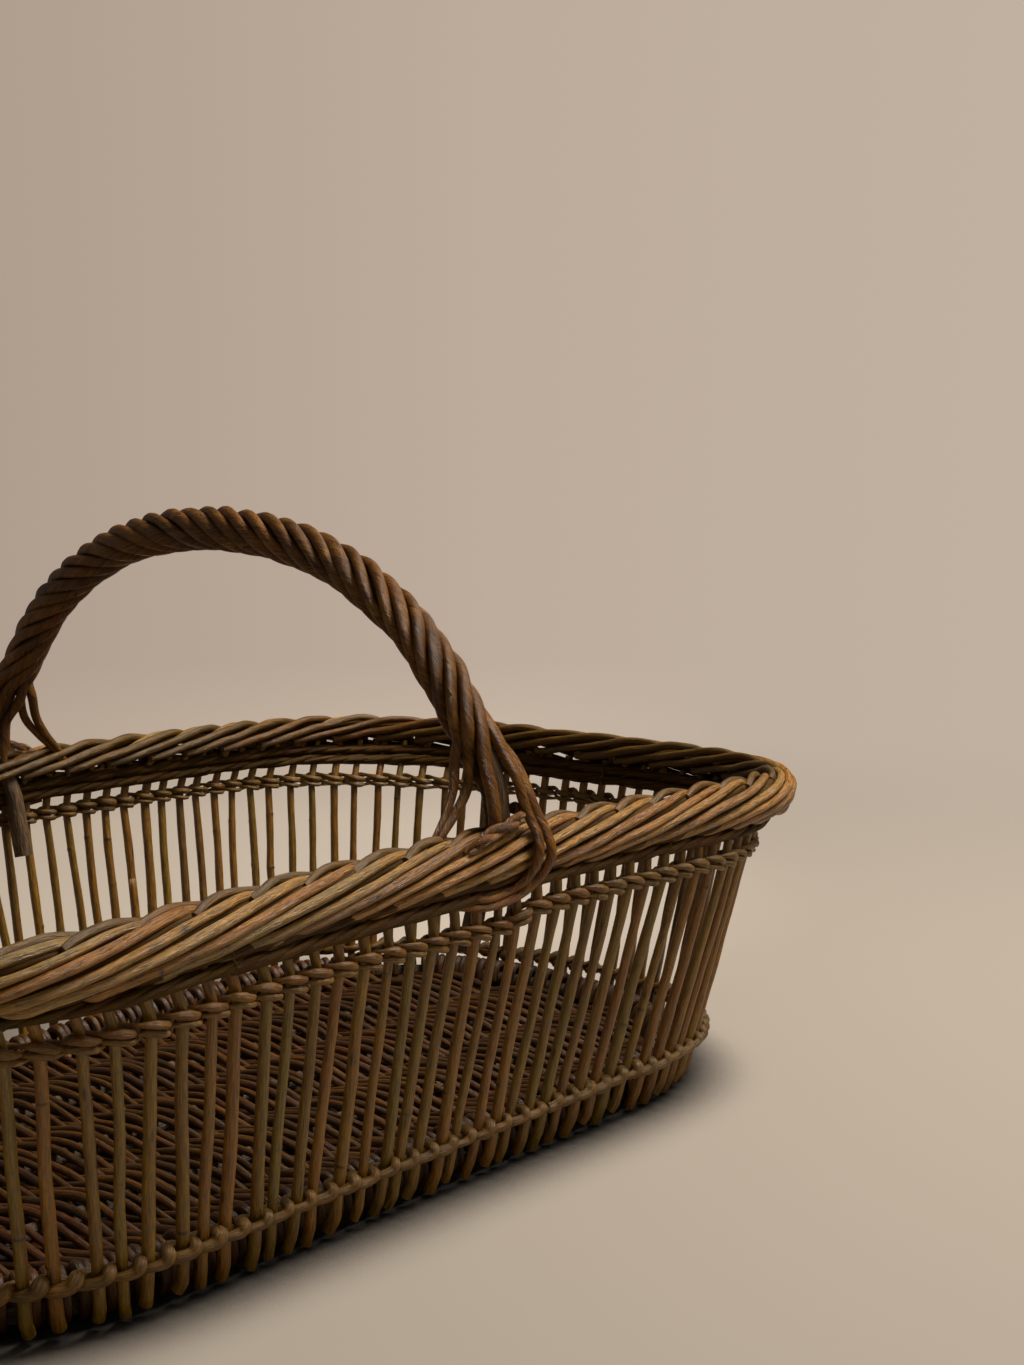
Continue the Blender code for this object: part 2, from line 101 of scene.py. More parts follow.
def add_node(tree, kind, inputs=None, stops=(), **settings):
    """Adds a shader node with its settings, its inputs and links, and a colour ramp's stops."""
    item = tree.nodes.new(kind)
    for key, value in settings.items():
        setattr(item, key, value)
    for key, value in (inputs or {}).items():
        if isinstance(value, bpy.types.NodeSocket):
            tree.links.new(value, item.inputs[key])
        else:
            item.inputs[key].default_value = value
    if stops:
        elements = item.color_ramp.elements
        while len(elements) < len(stops):
            elements.new(1)
        for element, (place, shade) in zip(elements, stops):
            element.position = place
            element.color = colour(shade) if isinstance(shade, str) else (shade, shade, shade, 1)
    return item


def new_material(name):
    material = bpy.data.materials.new(name)
    material.use_nodes = True
    return material, material.node_tree, material.node_tree.nodes["Principled BSDF"]


# Places in the backdrop are parts of the view's direction: across to the picture's right, and up.
world = bpy.data.worlds.new("studio")
bpy.context.scene.world = world
world.use_nodes = True
tree = world.node_tree
tree.nodes.clear()
rays = add_node(tree, "ShaderNodeLightPath")
direction = add_node(tree, "ShaderNodeTexCoord").outputs["Object"]
picture_right = forward.cross(Vector((0, 0, 1))).normalized()
across = add_node(
    tree, "ShaderNodeVectorMath", {0: direction, 1: picture_right}, operation="DOT_PRODUCT",
).outputs["Value"]
height = add_node(tree, "ShaderNodeSeparateXYZ", {0: direction}).outputs["Z"]
share, low, left = (
    add_node(
        tree, "ShaderNodeMapRange", {"Value": value, "From Min": start, "From Max": end},
    ).outputs["Result"]
    for value, (start, end) in (
        (across, BACKDROP_SIDES), (height, BACKDROP_PAINTED_POOL_HEIGHTS), (across, BACKDROP_PAINTED_POOL_SIDES)))
# The painted pool of light in the backdrop is full where the view looks low and to the left.
painted_pool = add_node(tree, "ShaderNodeMath", {0: low, 1: left}, operation="MULTIPLY").outputs[0]
plain, painted_pool_shades = (
    add_node(tree, "ShaderNodeValToRGB", {"Fac": share}, stops).outputs["Color"]
    for stops in (BACKDROP_SHADES, BACKDROP_PAINTED_POOL_SHADES))
shades = add_node(tree, "ShaderNodeMix", {0: painted_pool, 6: plain, 7: painted_pool_shades}, data_type="RGBA").outputs[2]
seen = add_node(tree, "ShaderNodeBackground", {"Color": shades, "Strength": 1.0})
lit = add_node(tree, "ShaderNodeBackground", {"Color": colour(SKY_LIGHT), "Strength": SKY_STRENGTH})
joined = add_node(
    tree, "ShaderNodeMixShader", {0: rays.outputs["Is Camera Ray"], 1: lit.outputs[0], 2: seen.outputs[0]})
add_node(tree, "ShaderNodeOutputWorld", {"Surface": joined.outputs[0]})

# Uncoated paper gives the eye an even, dull surface, without gloss or grain, apart from a painted pool
# of light behind the basket and painted shadow close to the base.
material, tree, shader = new_material("floor_paper")
# Ambient occlusion paints the shadow close to the base into the paper's colour.
near = add_node(tree, "ShaderNodeAmbientOcclusion", {"Distance": PAINTED_CONTACT_SHADOW_REACH}, samples=8).outputs["AO"]
place = add_node(tree, "ShaderNodeTexCoord").outputs["Object"]
# Painted pool of light: the paper turns paler close to a place behind the basket.
away = add_node(
    tree, "ShaderNodeVectorMath", {0: place, 1: FLOOR_PAINTED_POOL_PLACE}, operation="DISTANCE",
).outputs["Value"]
distance = add_node(tree, "ShaderNodeVectorMath", {0: place}, operation="LENGTH").outputs["Value"]
painted_pool, fade = (
    add_node(
        tree, "ShaderNodeMapRange", {"Value": value, "From Min": start, "From Max": end},
        interpolation_type="SMOOTHSTEP",
    ).outputs["Result"]
    for value, (start, end) in ((away, FLOOR_PAINTED_POOL_REACH), (distance, FLOOR_FADE_REACH)))
paper = add_node(
    tree, "ShaderNodeMix", {0: painted_pool, 6: colour(FLOOR_SHADE), 7: colour(FLOOR_PAINTED_POOL_SHADE)}, data_type="RGBA",
).outputs[2]
# Painted shadow: the paper's colour is multiplied down near the base.
contact = add_node(tree, "ShaderNodeValToRGB", {"Fac": near}, PAINTED_CONTACT_SHADOW_SHADES).outputs["Color"]
paper = add_node(
    tree, "ShaderNodeMix", {0: 1.0, 6: paper, 7: contact}, data_type="RGBA", blend_type="MULTIPLY",
).outputs[2]
tree.links.new(paper, shader.inputs["Base Color"])
shader.inputs["Roughness"].default_value = FLOOR_ROUGHNESS
clear = add_node(tree, "ShaderNodeBsdfTransparent")
joined = add_node(tree, "ShaderNodeMixShader", {0: fade, 1: shader.outputs[0], 2: clear.outputs[0]})
tree.links.new(joined.outputs[0], tree.nodes["Material Output"].inputs["Surface"])
floor_mesh = bpy.data.meshes.new("floor")
corners = [(x * FLOOR_HALF_SIZE, y * FLOOR_HALF_SIZE, 0) for x, y in ((-1, -1), (1, -1), (1, 1), (-1, 1))]
floor_mesh.from_pydata(corners, [], [(0, 1, 2, 3)])
floor_mesh.materials.append(material)
floor = bpy.data.objects.new("floor", floor_mesh)
bpy.context.scene.collection.objects.link(floor)


def soft_lamp(name, place, aim, size, watts, tint):
    data = bpy.data.lights.new(name, "AREA")
    data.shape = "DISK"
    data.size = size
    data.energy = watts
    data.color = colour(tint)[:3]
    lamp = bpy.data.objects.new(name, data)
    lamp.location = place
    lamp.rotation_euler = (Vector(aim) - Vector(place)).to_track_quat("-Z", "Y").to_euler()
    bpy.context.scene.collection.objects.link(lamp)


soft_lamp("window_right", place=(0.95, -0.58, 1.95), aim=(0, -0.05, 0.1), size=1.1, watts=60, tint="FFF3E6")
soft_lamp("fill_front", place=(0.2, -1.7, 0.9), aim=(0, -0.2, 0.1), size=1.3, watts=1.5, tint="FFF6EE")

# Base sticks: three thick willow rods, bark on, that run the length of the base. Their ends are held
# inside the bound frame. They are nearly straight, a little crooked, and taper towards one end.
STICK_COUNT = 3
STICK_RADIUS = 0.0040375
STICK_TAPER = 0.08
STICK_STATIONS = 60
FRAME_RADIUS = 0.010
FRAME_INSET = 0.0139
FRAME_SAMPLES = 400

# They and every later piece take their places from the middle surface of the wall. A place on it is a
# turn, 0 to 4 from the +X end counterclockwise, and a height. The plan grows from the base up to the
# upper fitch, and its corners get fuller from there to the border.
BASE_HALF_LENGTH = 0.291
BASE_HALF_WIDTH = 0.153
FITCH_HALF_LENGTH = 0.317
FITCH_HALF_WIDTH = 0.183
BORDER_HALF_LENGTH = 0.324
BORDER_HALF_WIDTH = 0.180
WALL_FULLNESS = 2.2
BORDER_FULLNESS = 3.2
ROUND_END_SHARE = 0.467
END_DROP = 0.009
UPPER_FITCH_HEIGHT = 0.1356
BORDER_HEIGHT = 0.165
OUTLINE_SAMPLES = 400
QUADRANTS = 4
TURN_STEP = 0.001
UP = np.array((0.0, 0.0, 1.0))
MM = 0.001


def lengths_along(points):
    """How far each point lies along its line, from the first point."""
    steps = np.linalg.norm(np.diff(points, axis=-2), axis=-1)
    return np.concatenate([np.zeros_like(steps[..., :1]), np.cumsum(steps, axis=-1)], axis=-1)


def at_places(wanted, places, points):
    """The points at wanted places on a line whose points have known places."""
    return np.stack([np.interp(wanted, places, column) for column in points.T], axis=-1)


def even_outline(half_length, half_width, fullness):
    """A plan with straight sides and full round ends, as points an equal distance apart."""
    end_length = half_length * ROUND_END_SHARE
    angles = np.linspace(0, math.pi / 2, OUTLINE_SAMPLES + 1)
    xs = half_length - end_length + end_length * np.cos(angles).clip(0) ** (2 / fullness)
    ys = half_width * np.sin(angles) ** (2 / fullness)
    quarter = np.append(np.stack([xs, ys], axis=1), [[0, half_width]], axis=0)
    half = np.concatenate([quarter, quarter[-2::-1] * (-1, 1)])
    whole = np.concatenate([half, half[-2::-1] * (1, -1)])
    lengths = lengths_along(whole)
    wanted = np.linspace(0, lengths[-1], QUADRANTS * OUTLINE_SAMPLES + 1)
    return at_places(wanted, lengths, whole), lengths[-1]


BASE_OUTLINE, BASE_LENGTH = even_outline(BASE_HALF_LENGTH, BASE_HALF_WIDTH, WALL_FULLNESS)
FITCH_OUTLINE = even_outline(FITCH_HALF_LENGTH, FITCH_HALF_WIDTH, WALL_FULLNESS)[0]
BORDER_OUTLINE, BORDER_LENGTH = even_outline(BORDER_HALF_LENGTH, BORDER_HALF_WIDTH, BORDER_FULLNESS)
OUTLINE_TURNS = np.linspace(0, QUADRANTS, QUADRANTS * OUTLINE_SAMPLES + 1)


def wall_points(turns, heights):
    turns, heights = np.broadcast_arrays(turns, heights)
    base, fitch, border = (
        at_places(turns % QUADRANTS, OUTLINE_TURNS, outline)
        for outline in (BASE_OUTLINE, FITCH_OUTLINE, BORDER_OUTLINE))
    low_share = np.clip(heights / UPPER_FITCH_HEIGHT, 0, 1)
    top_share = np.clip((heights - UPPER_FITCH_HEIGHT) / (BORDER_HEIGHT - UPPER_FITCH_HEIGHT), 0, None)
    plan = base + (fitch - base) * low_share[..., None] + (border - fitch) * top_share[..., None]
    reach = BASE_HALF_LENGTH + (FITCH_HALF_LENGTH - BASE_HALF_LENGTH) * low_share
    reach = reach + (BORDER_HALF_LENGTH - FITCH_HALF_LENGTH) * top_share
    drop = END_DROP * low_share * (plan[..., 0] / reach) ** 2
    return np.concatenate([plan, (heights - drop)[..., None]], axis=-1)


def on_wall(turns, heights, out=0.0, rise=0.0):
    """Points at a level distance outside the wall's middle surface and a rise above a height on it."""
    turns, heights, out, rise = np.broadcast_arrays(turns, heights, out, rise)
    along = wall_points(turns + TURN_STEP, heights) - wall_points(turns - TURN_STEP, heights)
    along[..., 2] = 0
    along /= np.linalg.norm(along, axis=-1, keepdims=True)
    outward = np.cross(along, UP)
    return wall_points(turns, heights) + outward * out[..., None] + UP * rise[..., None]


# Every rod is a swept tube, a little crooked and uneven in thickness. Each point of one keeps where it
# lies in its own rod, so that the bark's grain follows the rod.
OFF_AXIS = (0.31, 0.17, 0.93)
LUMP_LENGTH = 0.045
LUMP_SHARE = 0.045
SCAR_SWELL = 0.14
GRAIN_SPREAD = 9


def wander(rng, count, places, wavelength, amplitude):
    """Slow random waves along a number of rods, none alike."""
    total = np.zeros((count, places.shape[-1]))
    for octave in (1, 1.7, 2.9):
        phase = rng.uniform(0, math.tau, (count, 1))
        length = wavelength / octave * rng.uniform(0.8, 1.25, (count, 1))
        total += np.sin(places * math.tau / length + phase) / octave
    return total * amplitude / 1.6


def directions_across(paths):
    """Two directions across each rod at each station, which turn as little as they can on the way."""
    tangents = np.gradient(paths, axis=1)
    tangents /= np.linalg.norm(tangents, axis=2, keepdims=True) + 1e-12
    start = np.cross(tangents[:, 0], OFF_AXIS)
    normals = np.empty_like(paths)
    normals[:, 0] = start / np.linalg.norm(start, axis=1, keepdims=True)
    for index in range(1, paths.shape[1]):
        normal = normals[:, index - 1]
        normal = normal - tangents[:, index] * (normal * tangents[:, index]).sum(1, keepdims=True)
        normals[:, index] = normal / np.linalg.norm(normal, axis=1, keepdims=True)
    return normals, np.cross(tangents, normals)


def rods(name, paths, radii, sides, finishes, seed, node, twist=0.0, flat=0.0, scars=0.0, worn=0.0):
    """One piece of many rods. Paths are rods by stations by 3; finishes are the bark and the cut wood."""
    rng = np.random.default_rng(seed)
    paths = np.asarray(paths, dtype=float)
    count, stations, _ = paths.shape
    radii, scars, worn = (np.broadcast_to(values, (count, stations)) for values in (radii, scars, worn))
    normals, binormals = directions_across(paths)
    lengths = lengths_along(paths)
    angles = np.arange(sides) / sides * math.tau
    radii = radii * (1 + wander(rng, count, lengths, LUMP_LENGTH, LUMP_SHARE))
    scar = np.cos(angles[None, None, :] - rng.uniform(0, math.tau, (count, 1, 1))).clip(0) * scars[:, :, None]
    flattened = flat * np.cos(2 * (angles[None, None, :] + rng.uniform(0, math.tau, (count, 1, 1))))
    oval = 1 + flattened + SCAR_SWELL * scar
    ring = np.cos(angles)[:, None] * normals[:, :, None] + np.sin(angles)[:, None] * binormals[:, :, None]
    skin = paths[:, :, None] + ring * (radii[:, :, None] * oval)[..., None]
    turned = angles[None, None, :] + twist * lengths[:, :, None] + rng.uniform(0, math.tau, (count, 1, 1))
    grain = np.stack([
        np.cos(turned) * radii[:, :, None],
        np.sin(turned) * radii[:, :, None],
        np.broadcast_to((lengths + rng.uniform(0, GRAIN_SPREAD, (count, 1)))[:, :, None], turned.shape),
    ], axis=-1)
    numbers = np.arange(count * stations * sides).reshape(count, stations, sides)
    following = np.roll(numbers, -1, axis=2)
    quads = np.stack([numbers[:, :-1], following[:, :-1], following[:, 1:], numbers[:, 1:]], axis=-1)
    # The cut ends have corners of their own, so that their rims stay sharp.
    caps = []
    points = [skin.reshape(-1, 3)]
    grains = [grain.reshape(-1, 3)]
    total = numbers.size
    for end, order in ((0, -1), (-1, 1)):
        points.append(skin[:, end].reshape(-1, 3))
        grains.append(grain[:, end].reshape(-1, 3))
        caps += (np.arange(count * sides).reshape(count, sides)[:, ::order] + total).tolist()
        total += count * sides
    mesh = bpy.data.meshes.new(name)
    mesh.from_pydata(np.concatenate(points).tolist(), [], quads.reshape(-1, 4).tolist() + caps)
    grain_data = mesh.attributes.new("grain", "FLOAT_VECTOR", "POINT")
    grain_data.data.foreach_set("vector", np.concatenate(grains).astype(np.float32).reshape(-1))
    tints = rng.uniform(0, 1, count)
    on_caps = np.zeros(2 * count * sides)
    flags = {
        "tint": (np.repeat(tints, stations * sides), np.tile(np.repeat(tints, sides), 2)),
        "scar": (scar.reshape(-1), on_caps),
        "worn": (np.repeat(worn.reshape(-1), sides), on_caps),
    }
    for key, values in flags.items():
        flag = mesh.attributes.new(key, "FLOAT", "POINT")
        flag.data.foreach_set("value", np.concatenate(values).astype(np.float32))
    quad_count = quads.size // 4
    smooth = np.ones(quad_count + 2 * count, dtype=bool)
    smooth[quad_count:] = False
    mesh.polygons.foreach_set("use_smooth", smooth)
    mesh.polygons.foreach_set("material_index", (~smooth).astype(np.int32))
    for finish in finishes:
        mesh.materials.append(finish)
    piece = bpy.data.objects.new(name, mesh)
    bpy.context.scene.collection.objects.link(piece)
    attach(piece, "root")
    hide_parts(*node)
    return piece


# Dried willow bark gives the eye a colour of its own for each rod, fine streaks along it, weathered
# patches, specks, dark leaf scars, pale fibres where it is worn, and a soft gloss. Its patterns have a
# size in millimetres across the rod and along it, and a detail.
BARK_PATTERNS = {
    "streaks": (0.6, 12, 3),
    "patches": (5, 45, 4),
    "mottle": (1.6, 6, 3),
    "specks": (0.7, 1.1, 1),
    "fibres": (0.5, 9, 3),
}
PATTERN_ROUGHNESS = 0.6
LEAF_SPOTS_PER_METRE = (150, 150, 30)
DARK_BARK = "170D06"
BARE_FIBRE = "B4936A"
MOTTLE_RANGE = (0.3, 0.7)
GLOSS_SPREAD = 0.22
BARK_RELIEF = 0.001


def willow_bark(
        name, tones, patch, gloss, streaks=0.5, patches=0.6, relief=0.6, rich=1.15, shine=0.5):
    """Bark in a family of tones. Gloss is its lowest roughness, and rich its strength of colour."""
    material, tree, shader = new_material(name)
    grain = add_node(tree, "ShaderNodeAttribute", attribute_name="grain").outputs["Vector"]
    tint, scar, worn = (
        add_node(tree, "ShaderNodeAttribute", attribute_name=key).outputs["Fac"]
        for key in ("tint", "scar", "worn"))
    noise = {}
    for key, (across, along, detail) in BARK_PATTERNS.items():
        per_metre = (1 / (across * MM), 1 / (across * MM), 1 / (along * MM))
        stretched = add_node(tree, "ShaderNodeVectorMath", {0: grain, 1: per_metre}, operation="MULTIPLY")
        noise[key] = add_node(tree, "ShaderNodeTexNoise", {
            "Vector": stretched.outputs[0], "Scale": 1.0, "Detail": detail, "Roughness": PATTERN_ROUGHNESS,
        }).outputs["Fac"]
    spread = add_node(tree, "ShaderNodeVectorMath", {0: grain, 1: LEAF_SPOTS_PER_METRE}, operation="MULTIPLY")
    spots = add_node(tree, "ShaderNodeTexVoronoi", {"Vector": spread.outputs[0], "Scale": 1.0})
    frayed = add_node(tree, "ShaderNodeMath", {0: worn, 1: noise["fibres"]}, operation="MULTIPLY")
    # Each coat has a pattern, the pattern's stops and a colour that is laid on, or none to darken by it.
    coats = (
        (noise["patches"], [(0.38, 0.0), (0.64, patches)], patch),
        (noise["streaks"], [(0.32, 1 - streaks), (0.58, 1.0)], None),
        (noise["mottle"], [(0.30, 0.66), (0.62, 1.12)], None),
        (noise["streaks"], [(0.62, 0.0), (0.82, 0.25)], BARE_FIBRE),
        (spots.outputs["Distance"], [(0.05, 0.85), (0.14, 0.0)], DARK_BARK),
        (noise["specks"], [(0.66, 0.0), (0.74, 0.6)], DARK_BARK),
        (scar, [(0.2, 0.0), (0.75, 0.85)], DARK_BARK),
        (frayed.outputs[0], [(0.36, 0.0), (0.60, 0.6)], BARE_FIBRE),
    )
    bark = add_node(tree, "ShaderNodeValToRGB", {"Fac": tint}, tones).outputs["Color"]
    for pattern, stops, shade in coats:
        amount = add_node(tree, "ShaderNodeValToRGB", {"Fac": pattern}, stops).outputs["Color"]
        if shade:
            inputs, blend = {0: amount, 6: bark, 7: colour(shade)}, "MIX"
        else:
            inputs, blend = {0: 1.0, 6: bark, 7: amount}, "MULTIPLY"
        bark = add_node(tree, "ShaderNodeMix", inputs, data_type="RGBA", blend_type=blend).outputs[2]
    vivid = add_node(tree, "ShaderNodeHueSaturation", {"Color": bark, "Saturation": rich}).outputs["Color"]
    tree.links.new(vivid, shader.inputs["Base Color"])
    shader.inputs["Specular IOR Level"].default_value = shine
    rough = add_node(tree, "ShaderNodeMapRange", {
        "Value": noise["mottle"], "From Min": MOTTLE_RANGE[0], "From Max": MOTTLE_RANGE[1],
        "To Min": gloss, "To Max": gloss + GLOSS_SPREAD,
    }).outputs["Result"]
    tree.links.new(rough, shader.inputs["Roughness"])
    height = add_node(tree, "ShaderNodeMath", {0: noise["streaks"], 1: noise["mottle"]}, operation="ADD")
    bump = add_node(
        tree, "ShaderNodeBump", {"Height": height.outputs[0], "Strength": relief, "Distance": BARK_RELIEF})
    tree.links.new(bump.outputs["Normal"], shader.inputs["Normal"])
    return material


# Willow cut across shows pale, dull wood with a fine even grain.
CUT_ROUGHNESS = 0.8
PITH_PER_METRE = (1500, 1500, 1)
PITH_SHADES = [(0.3, "6E5233"), (0.7, "A98C60")]
CUT_WILLOW, tree, shader = new_material("cut_willow")
grain = add_node(tree, "ShaderNodeAttribute", attribute_name="grain").outputs["Vector"]
stretched = add_node(tree, "ShaderNodeVectorMath", {0: grain, 1: PITH_PER_METRE}, operation="MULTIPLY")
pith = add_node(tree, "ShaderNodeTexNoise", {"Vector": stretched.outputs[0], "Scale": 1.0, "Detail": 3.0})
wood = add_node(tree, "ShaderNodeValToRGB", {"Fac": pith.outputs["Fac"]}, PITH_SHADES).outputs["Color"]
tree.links.new(wood, shader.inputs["Base Color"])
shader.inputs["Roughness"].default_value = CUT_ROUGHNESS

# The old bark of thick rods is grey brown, rough and dull.
CORE_BARK = willow_bark(
    "willow_bark_old", [(0.0, "46321F"), (1.0, "584634")], patch="6E5F4E", gloss=0.5, streaks=0.8,
    relief=1.0)

rng = np.random.default_rng(11)
frame_turns = np.linspace(0, 1, FRAME_SAMPLES)
inner_edge = on_wall(frame_turns, FRAME_RADIUS, -(FRAME_INSET + FRAME_RADIUS))
inner_edge = inner_edge[np.argsort(inner_edge[:, 1])]
inner_half_width = inner_edge[-1, 1]
stick_spacing = 2 * inner_half_width / (STICK_COUNT + 1)
stick_places = (np.arange(STICK_COUNT) + 1) * stick_spacing - inner_half_width
stick_reaches = np.interp(np.abs(stick_places), inner_edge[:, 1], inner_edge[:, 0])
steps = np.linspace(-1, 1, STICK_STATIONS)
xs = stick_reaches[:, None] * steps
bends = wander(rng, STICK_COUNT, xs, wavelength=0.3, amplitude=1.0 * MM)
paths = np.stack([xs, stick_places[:, None] + bends, np.full_like(xs, FRAME_RADIUS)], axis=-1)
taper = 1 - STICK_TAPER * steps * rng.choice([-1, 1], (STICK_COUNT, 1))
rods("base_sticks", paths, STICK_RADIUS * taper, sides=12, seed=12, finishes=(CORE_BARK, CUT_WILLOW),
     node=[f"base_stick_{number}" for number in range(1, STICK_COUNT + 1)])

# Base mat: thin willow rods woven across the sticks, over one and under the next, each the other way
# from its neighbour, so that they cross in long uneven waves. Their ends lie in the frame.
MAT_ROD_RADIUS = 0.0022
MAT_TAPER = 0.14
MAT_PITCH = 0.0046
MAT_WAVE = 0.0057
MAT_LOWEST = 0.0029
MAT_EDGE = FRAME_INSET + 0.6 * FRAME_RADIUS
MAT_END_GAP = 0.008
MAT_STATIONS = 64
# Steamed bark, deep red brown, with a dull shine.
BASE_BARK = willow_bark("willow_bark_base", [
    (0.0, "341F10"), (0.2, "543C20"), (0.4, "5A341A"), (0.6, "45321A"), (0.8, "6C4A28"), (1.0, "4E381E"),
], patch="452B18", gloss=0.34, rich=1.35)

rng = np.random.default_rng(21)
edge_by_x = on_wall(frame_turns, FRAME_RADIUS, -MAT_EDGE)
edge_by_x = edge_by_x[np.argsort(edge_by_x[:, 0])]
mat_count = int(2 * (edge_by_x[-1, 0] - MAT_END_GAP) / MAT_PITCH)
mat_xs = (np.arange(mat_count) - (mat_count - 1) / 2) * MAT_PITCH
half_widths = np.interp(np.abs(mat_xs), edge_by_x[:, 0], edge_by_x[:, 1])
steps = np.linspace(-1, 1, MAT_STATIONS)
ys = half_widths[:, None] * steps
over_or_under = np.where(np.arange(mat_count) % 2 == 0, 1, -1)[:, None]
waves = np.cos(math.pi * ys / stick_spacing) * over_or_under
sway = wander(rng, mat_count, ys, wavelength=0.13, amplitude=2.4 * MM)
sway = sway + rng.normal(0, 0.8 * MM, (mat_count, 1))
heights = FRAME_RADIUS + waves * MAT_WAVE * rng.uniform(0.8, 1.05, (mat_count, 1))
heights = heights + wander(rng, mat_count, ys, wavelength=0.10, amplitude=0.5 * MM)
paths = np.stack([mat_xs[:, None] + sway, ys, heights.clip(MAT_LOWEST)], axis=-1)
radii = MAT_ROD_RADIUS * rng.uniform(0.78, 1.12, (mat_count, 1))
radii = radii * (1 - MAT_TAPER * steps * rng.choice([-1, 1], (mat_count, 1)))
rods("base_mat_rods", paths, radii, sides=8, seed=22, finishes=(BASE_BARK, CUT_WILLOW),
     node=[f"base_mat_{number}" for number in range(1, STICK_COUNT + 2)])

# Base frame wraps: the mat's rod ends bent round the frame, two between every two stakes.
# They show as dark rounded stubs below the lower fitch, and draw out upwards above the frame.
STAKE_COUNT = 120
WRAP_RADIUS = 0.0025
WRAP_PAIR_SHIFT = 0.14
WRAP_ARC_DEGREES = (165, -170)
WRAP_STATIONS = 18
WRAP_BULGE = 0.0011
WRAP_RISE = 0.006

rng = np.random.default_rng(31)
wrap_count = 2 * STAKE_COUNT
shifts = np.where(np.arange(wrap_count) % 2 == 0, WRAP_PAIR_SHIFT, -WRAP_PAIR_SHIFT)
wrap_turns = (np.arange(wrap_count) + 0.5 + shifts) / wrap_count * QUADRANTS
wrap_turns = wrap_turns + rng.normal(0, 0.0010, wrap_count)
angles = np.radians(np.linspace(*WRAP_ARC_DEGREES, WRAP_STATIONS))
slant = np.linspace(-0.5, 0.5, WRAP_STATIONS) * rng.normal(0.007, 0.004, (wrap_count, 1))
reach = (FRAME_RADIUS - WRAP_RADIUS) * rng.uniform(0.92, 0.965, (wrap_count, 1)) * np.ones(WRAP_STATIONS)
bulge = WRAP_BULGE * np.cos(angles).clip(0)
paths = on_wall(wrap_turns[:, None] + slant, 0.0, -FRAME_INSET + bulge + reach * np.cos(angles))
paths[..., 2] = FRAME_RADIUS + reach * np.sin(angles) + WRAP_RISE * np.sin(angles).clip(0)
rods("base_frame_wraps", paths, WRAP_RADIUS * rng.uniform(0.86, 1.0, (wrap_count, 1)), sides=9, seed=32,
     finishes=(BASE_BARK, CUT_WILLOW), node=["base_frame"], flat=0.07)

# Base frame rods: the thick willow rods bent round inside the wraps, lapped past each other at their
# ends. They show in the gaps of the wraps and keep the light out of the base. Each row gives the turn
# where a rod starts, and its millimetres outside the wall and above the floor.
FRAME_RODS = np.array((
    (0.4, -12.6, 8.2),
    (2.4, -15.0, 13.5),
    (1.4, -15.2, 14.6),
    (3.4, -12.8, 7.6),
))
FRAME_ROD_RADIUS = 0.0046
FRAME_ROD_TURNS = 2.15
FRAME_ROD_STATIONS = 150

turns = np.linspace(0, FRAME_ROD_TURNS, FRAME_ROD_STATIONS) + FRAME_RODS[:, :1]
paths = on_wall(turns, 0.0, FRAME_RODS[:, 1:2] * MM)
paths[..., 2] = FRAME_RODS[:, 2:] * MM
rods("base_frame_rods", paths, FRAME_ROD_RADIUS, sides=12, seed=35, finishes=(CORE_BARK, CUT_WILLOW),
     node=["base_frame"])

# Wall stakes: 120 upright willow rods that carry the weave, cut off blunt at the frame's foot and running
# up into the border. They are evenly spaced where the fitch ties them, and less so lower down, with a
# kink at each leaf scar. Scar steps, foot outs and foot rises are in millimetres.
STAKE_RADIUS = 0.00262
STAKE_TAPER = (1.04, 0.90)
STAKE_SPAN = (0.012, 0.160)
STAKE_LEVELS = 22
STAKE_PANELS = 12
LOOSE_SPREAD = 0.15
LOOSE_LIMIT = 0.28
TIED_SPREAD = 0.045
SCAR_BANDS = ((0.032, 0.062), (0.066, 0.096), (0.100, 0.128))
SCAR_LENGTH = 0.001
SCAR_STEPS = (-2.0, -0.9, 0.0, 0.9, 2.0)
KINK_SLOPE = 0.013
FOOT_OUTS = np.array((-1.8, -1.5, -1.1, -0.6, -0.2))
FOOT_RISES = np.array((2.2, 4.0, 6.0, 8.0, 10.0))
FOOT_UNEVENNESS = 0.004
FOOT_SPLAY = 0.0009
# Smooth steamed bark, olive to red brown, glossy where the light grazes it.
STAKE_BARK = willow_bark("willow_bark_stakes", [
    (0.0, "6E5429"), (0.2, "92743C"), (0.4, "806C36"), (0.6, "9D733E"), (0.8, "885E2E"), (1.0, "A28448"),
], patch="82572A", gloss=0.30, rich=1.35, shine=0.7)

rng = np.random.default_rng(41)
levels = np.broadcast_to(np.linspace(*STAKE_SPAN, STAKE_LEVELS), (STAKE_COUNT, STAKE_LEVELS))
scar_levels = np.stack([rng.uniform(low, high, STAKE_COUNT) for low, high in SCAR_BANDS], axis=1)
extra = np.concatenate([scar_levels + step * MM for step in SCAR_STEPS], axis=1)
levels = np.sort(np.concatenate([levels, extra], axis=1), axis=1)
from_scars = np.abs(levels[:, :, None] - scar_levels[:, None])
depth = rng.uniform(0.0, 1.0, (STAKE_COUNT, len(SCAR_BANDS))) ** 1.5
scars = (np.exp(-(from_scars / SCAR_LENGTH) ** 2) * depth[:, None]).max(axis=2)
even = (np.arange(STAKE_COUNT) + 0.5)[:, None]
loose = rng.normal(0, LOOSE_SPREAD, (STAKE_COUNT, 1)).clip(-LOOSE_LIMIT, LOOSE_LIMIT)
tied = rng.normal(0, TIED_SPREAD, (STAKE_COUNT, 1))
height_share = (levels / UPPER_FITCH_HEIGHT).clip(0, 1)
turns = (even + loose * (1 - height_share) + tied * height_share) / STAKE_COUNT * QUADRANTS
bow = np.sin(math.pi * height_share)
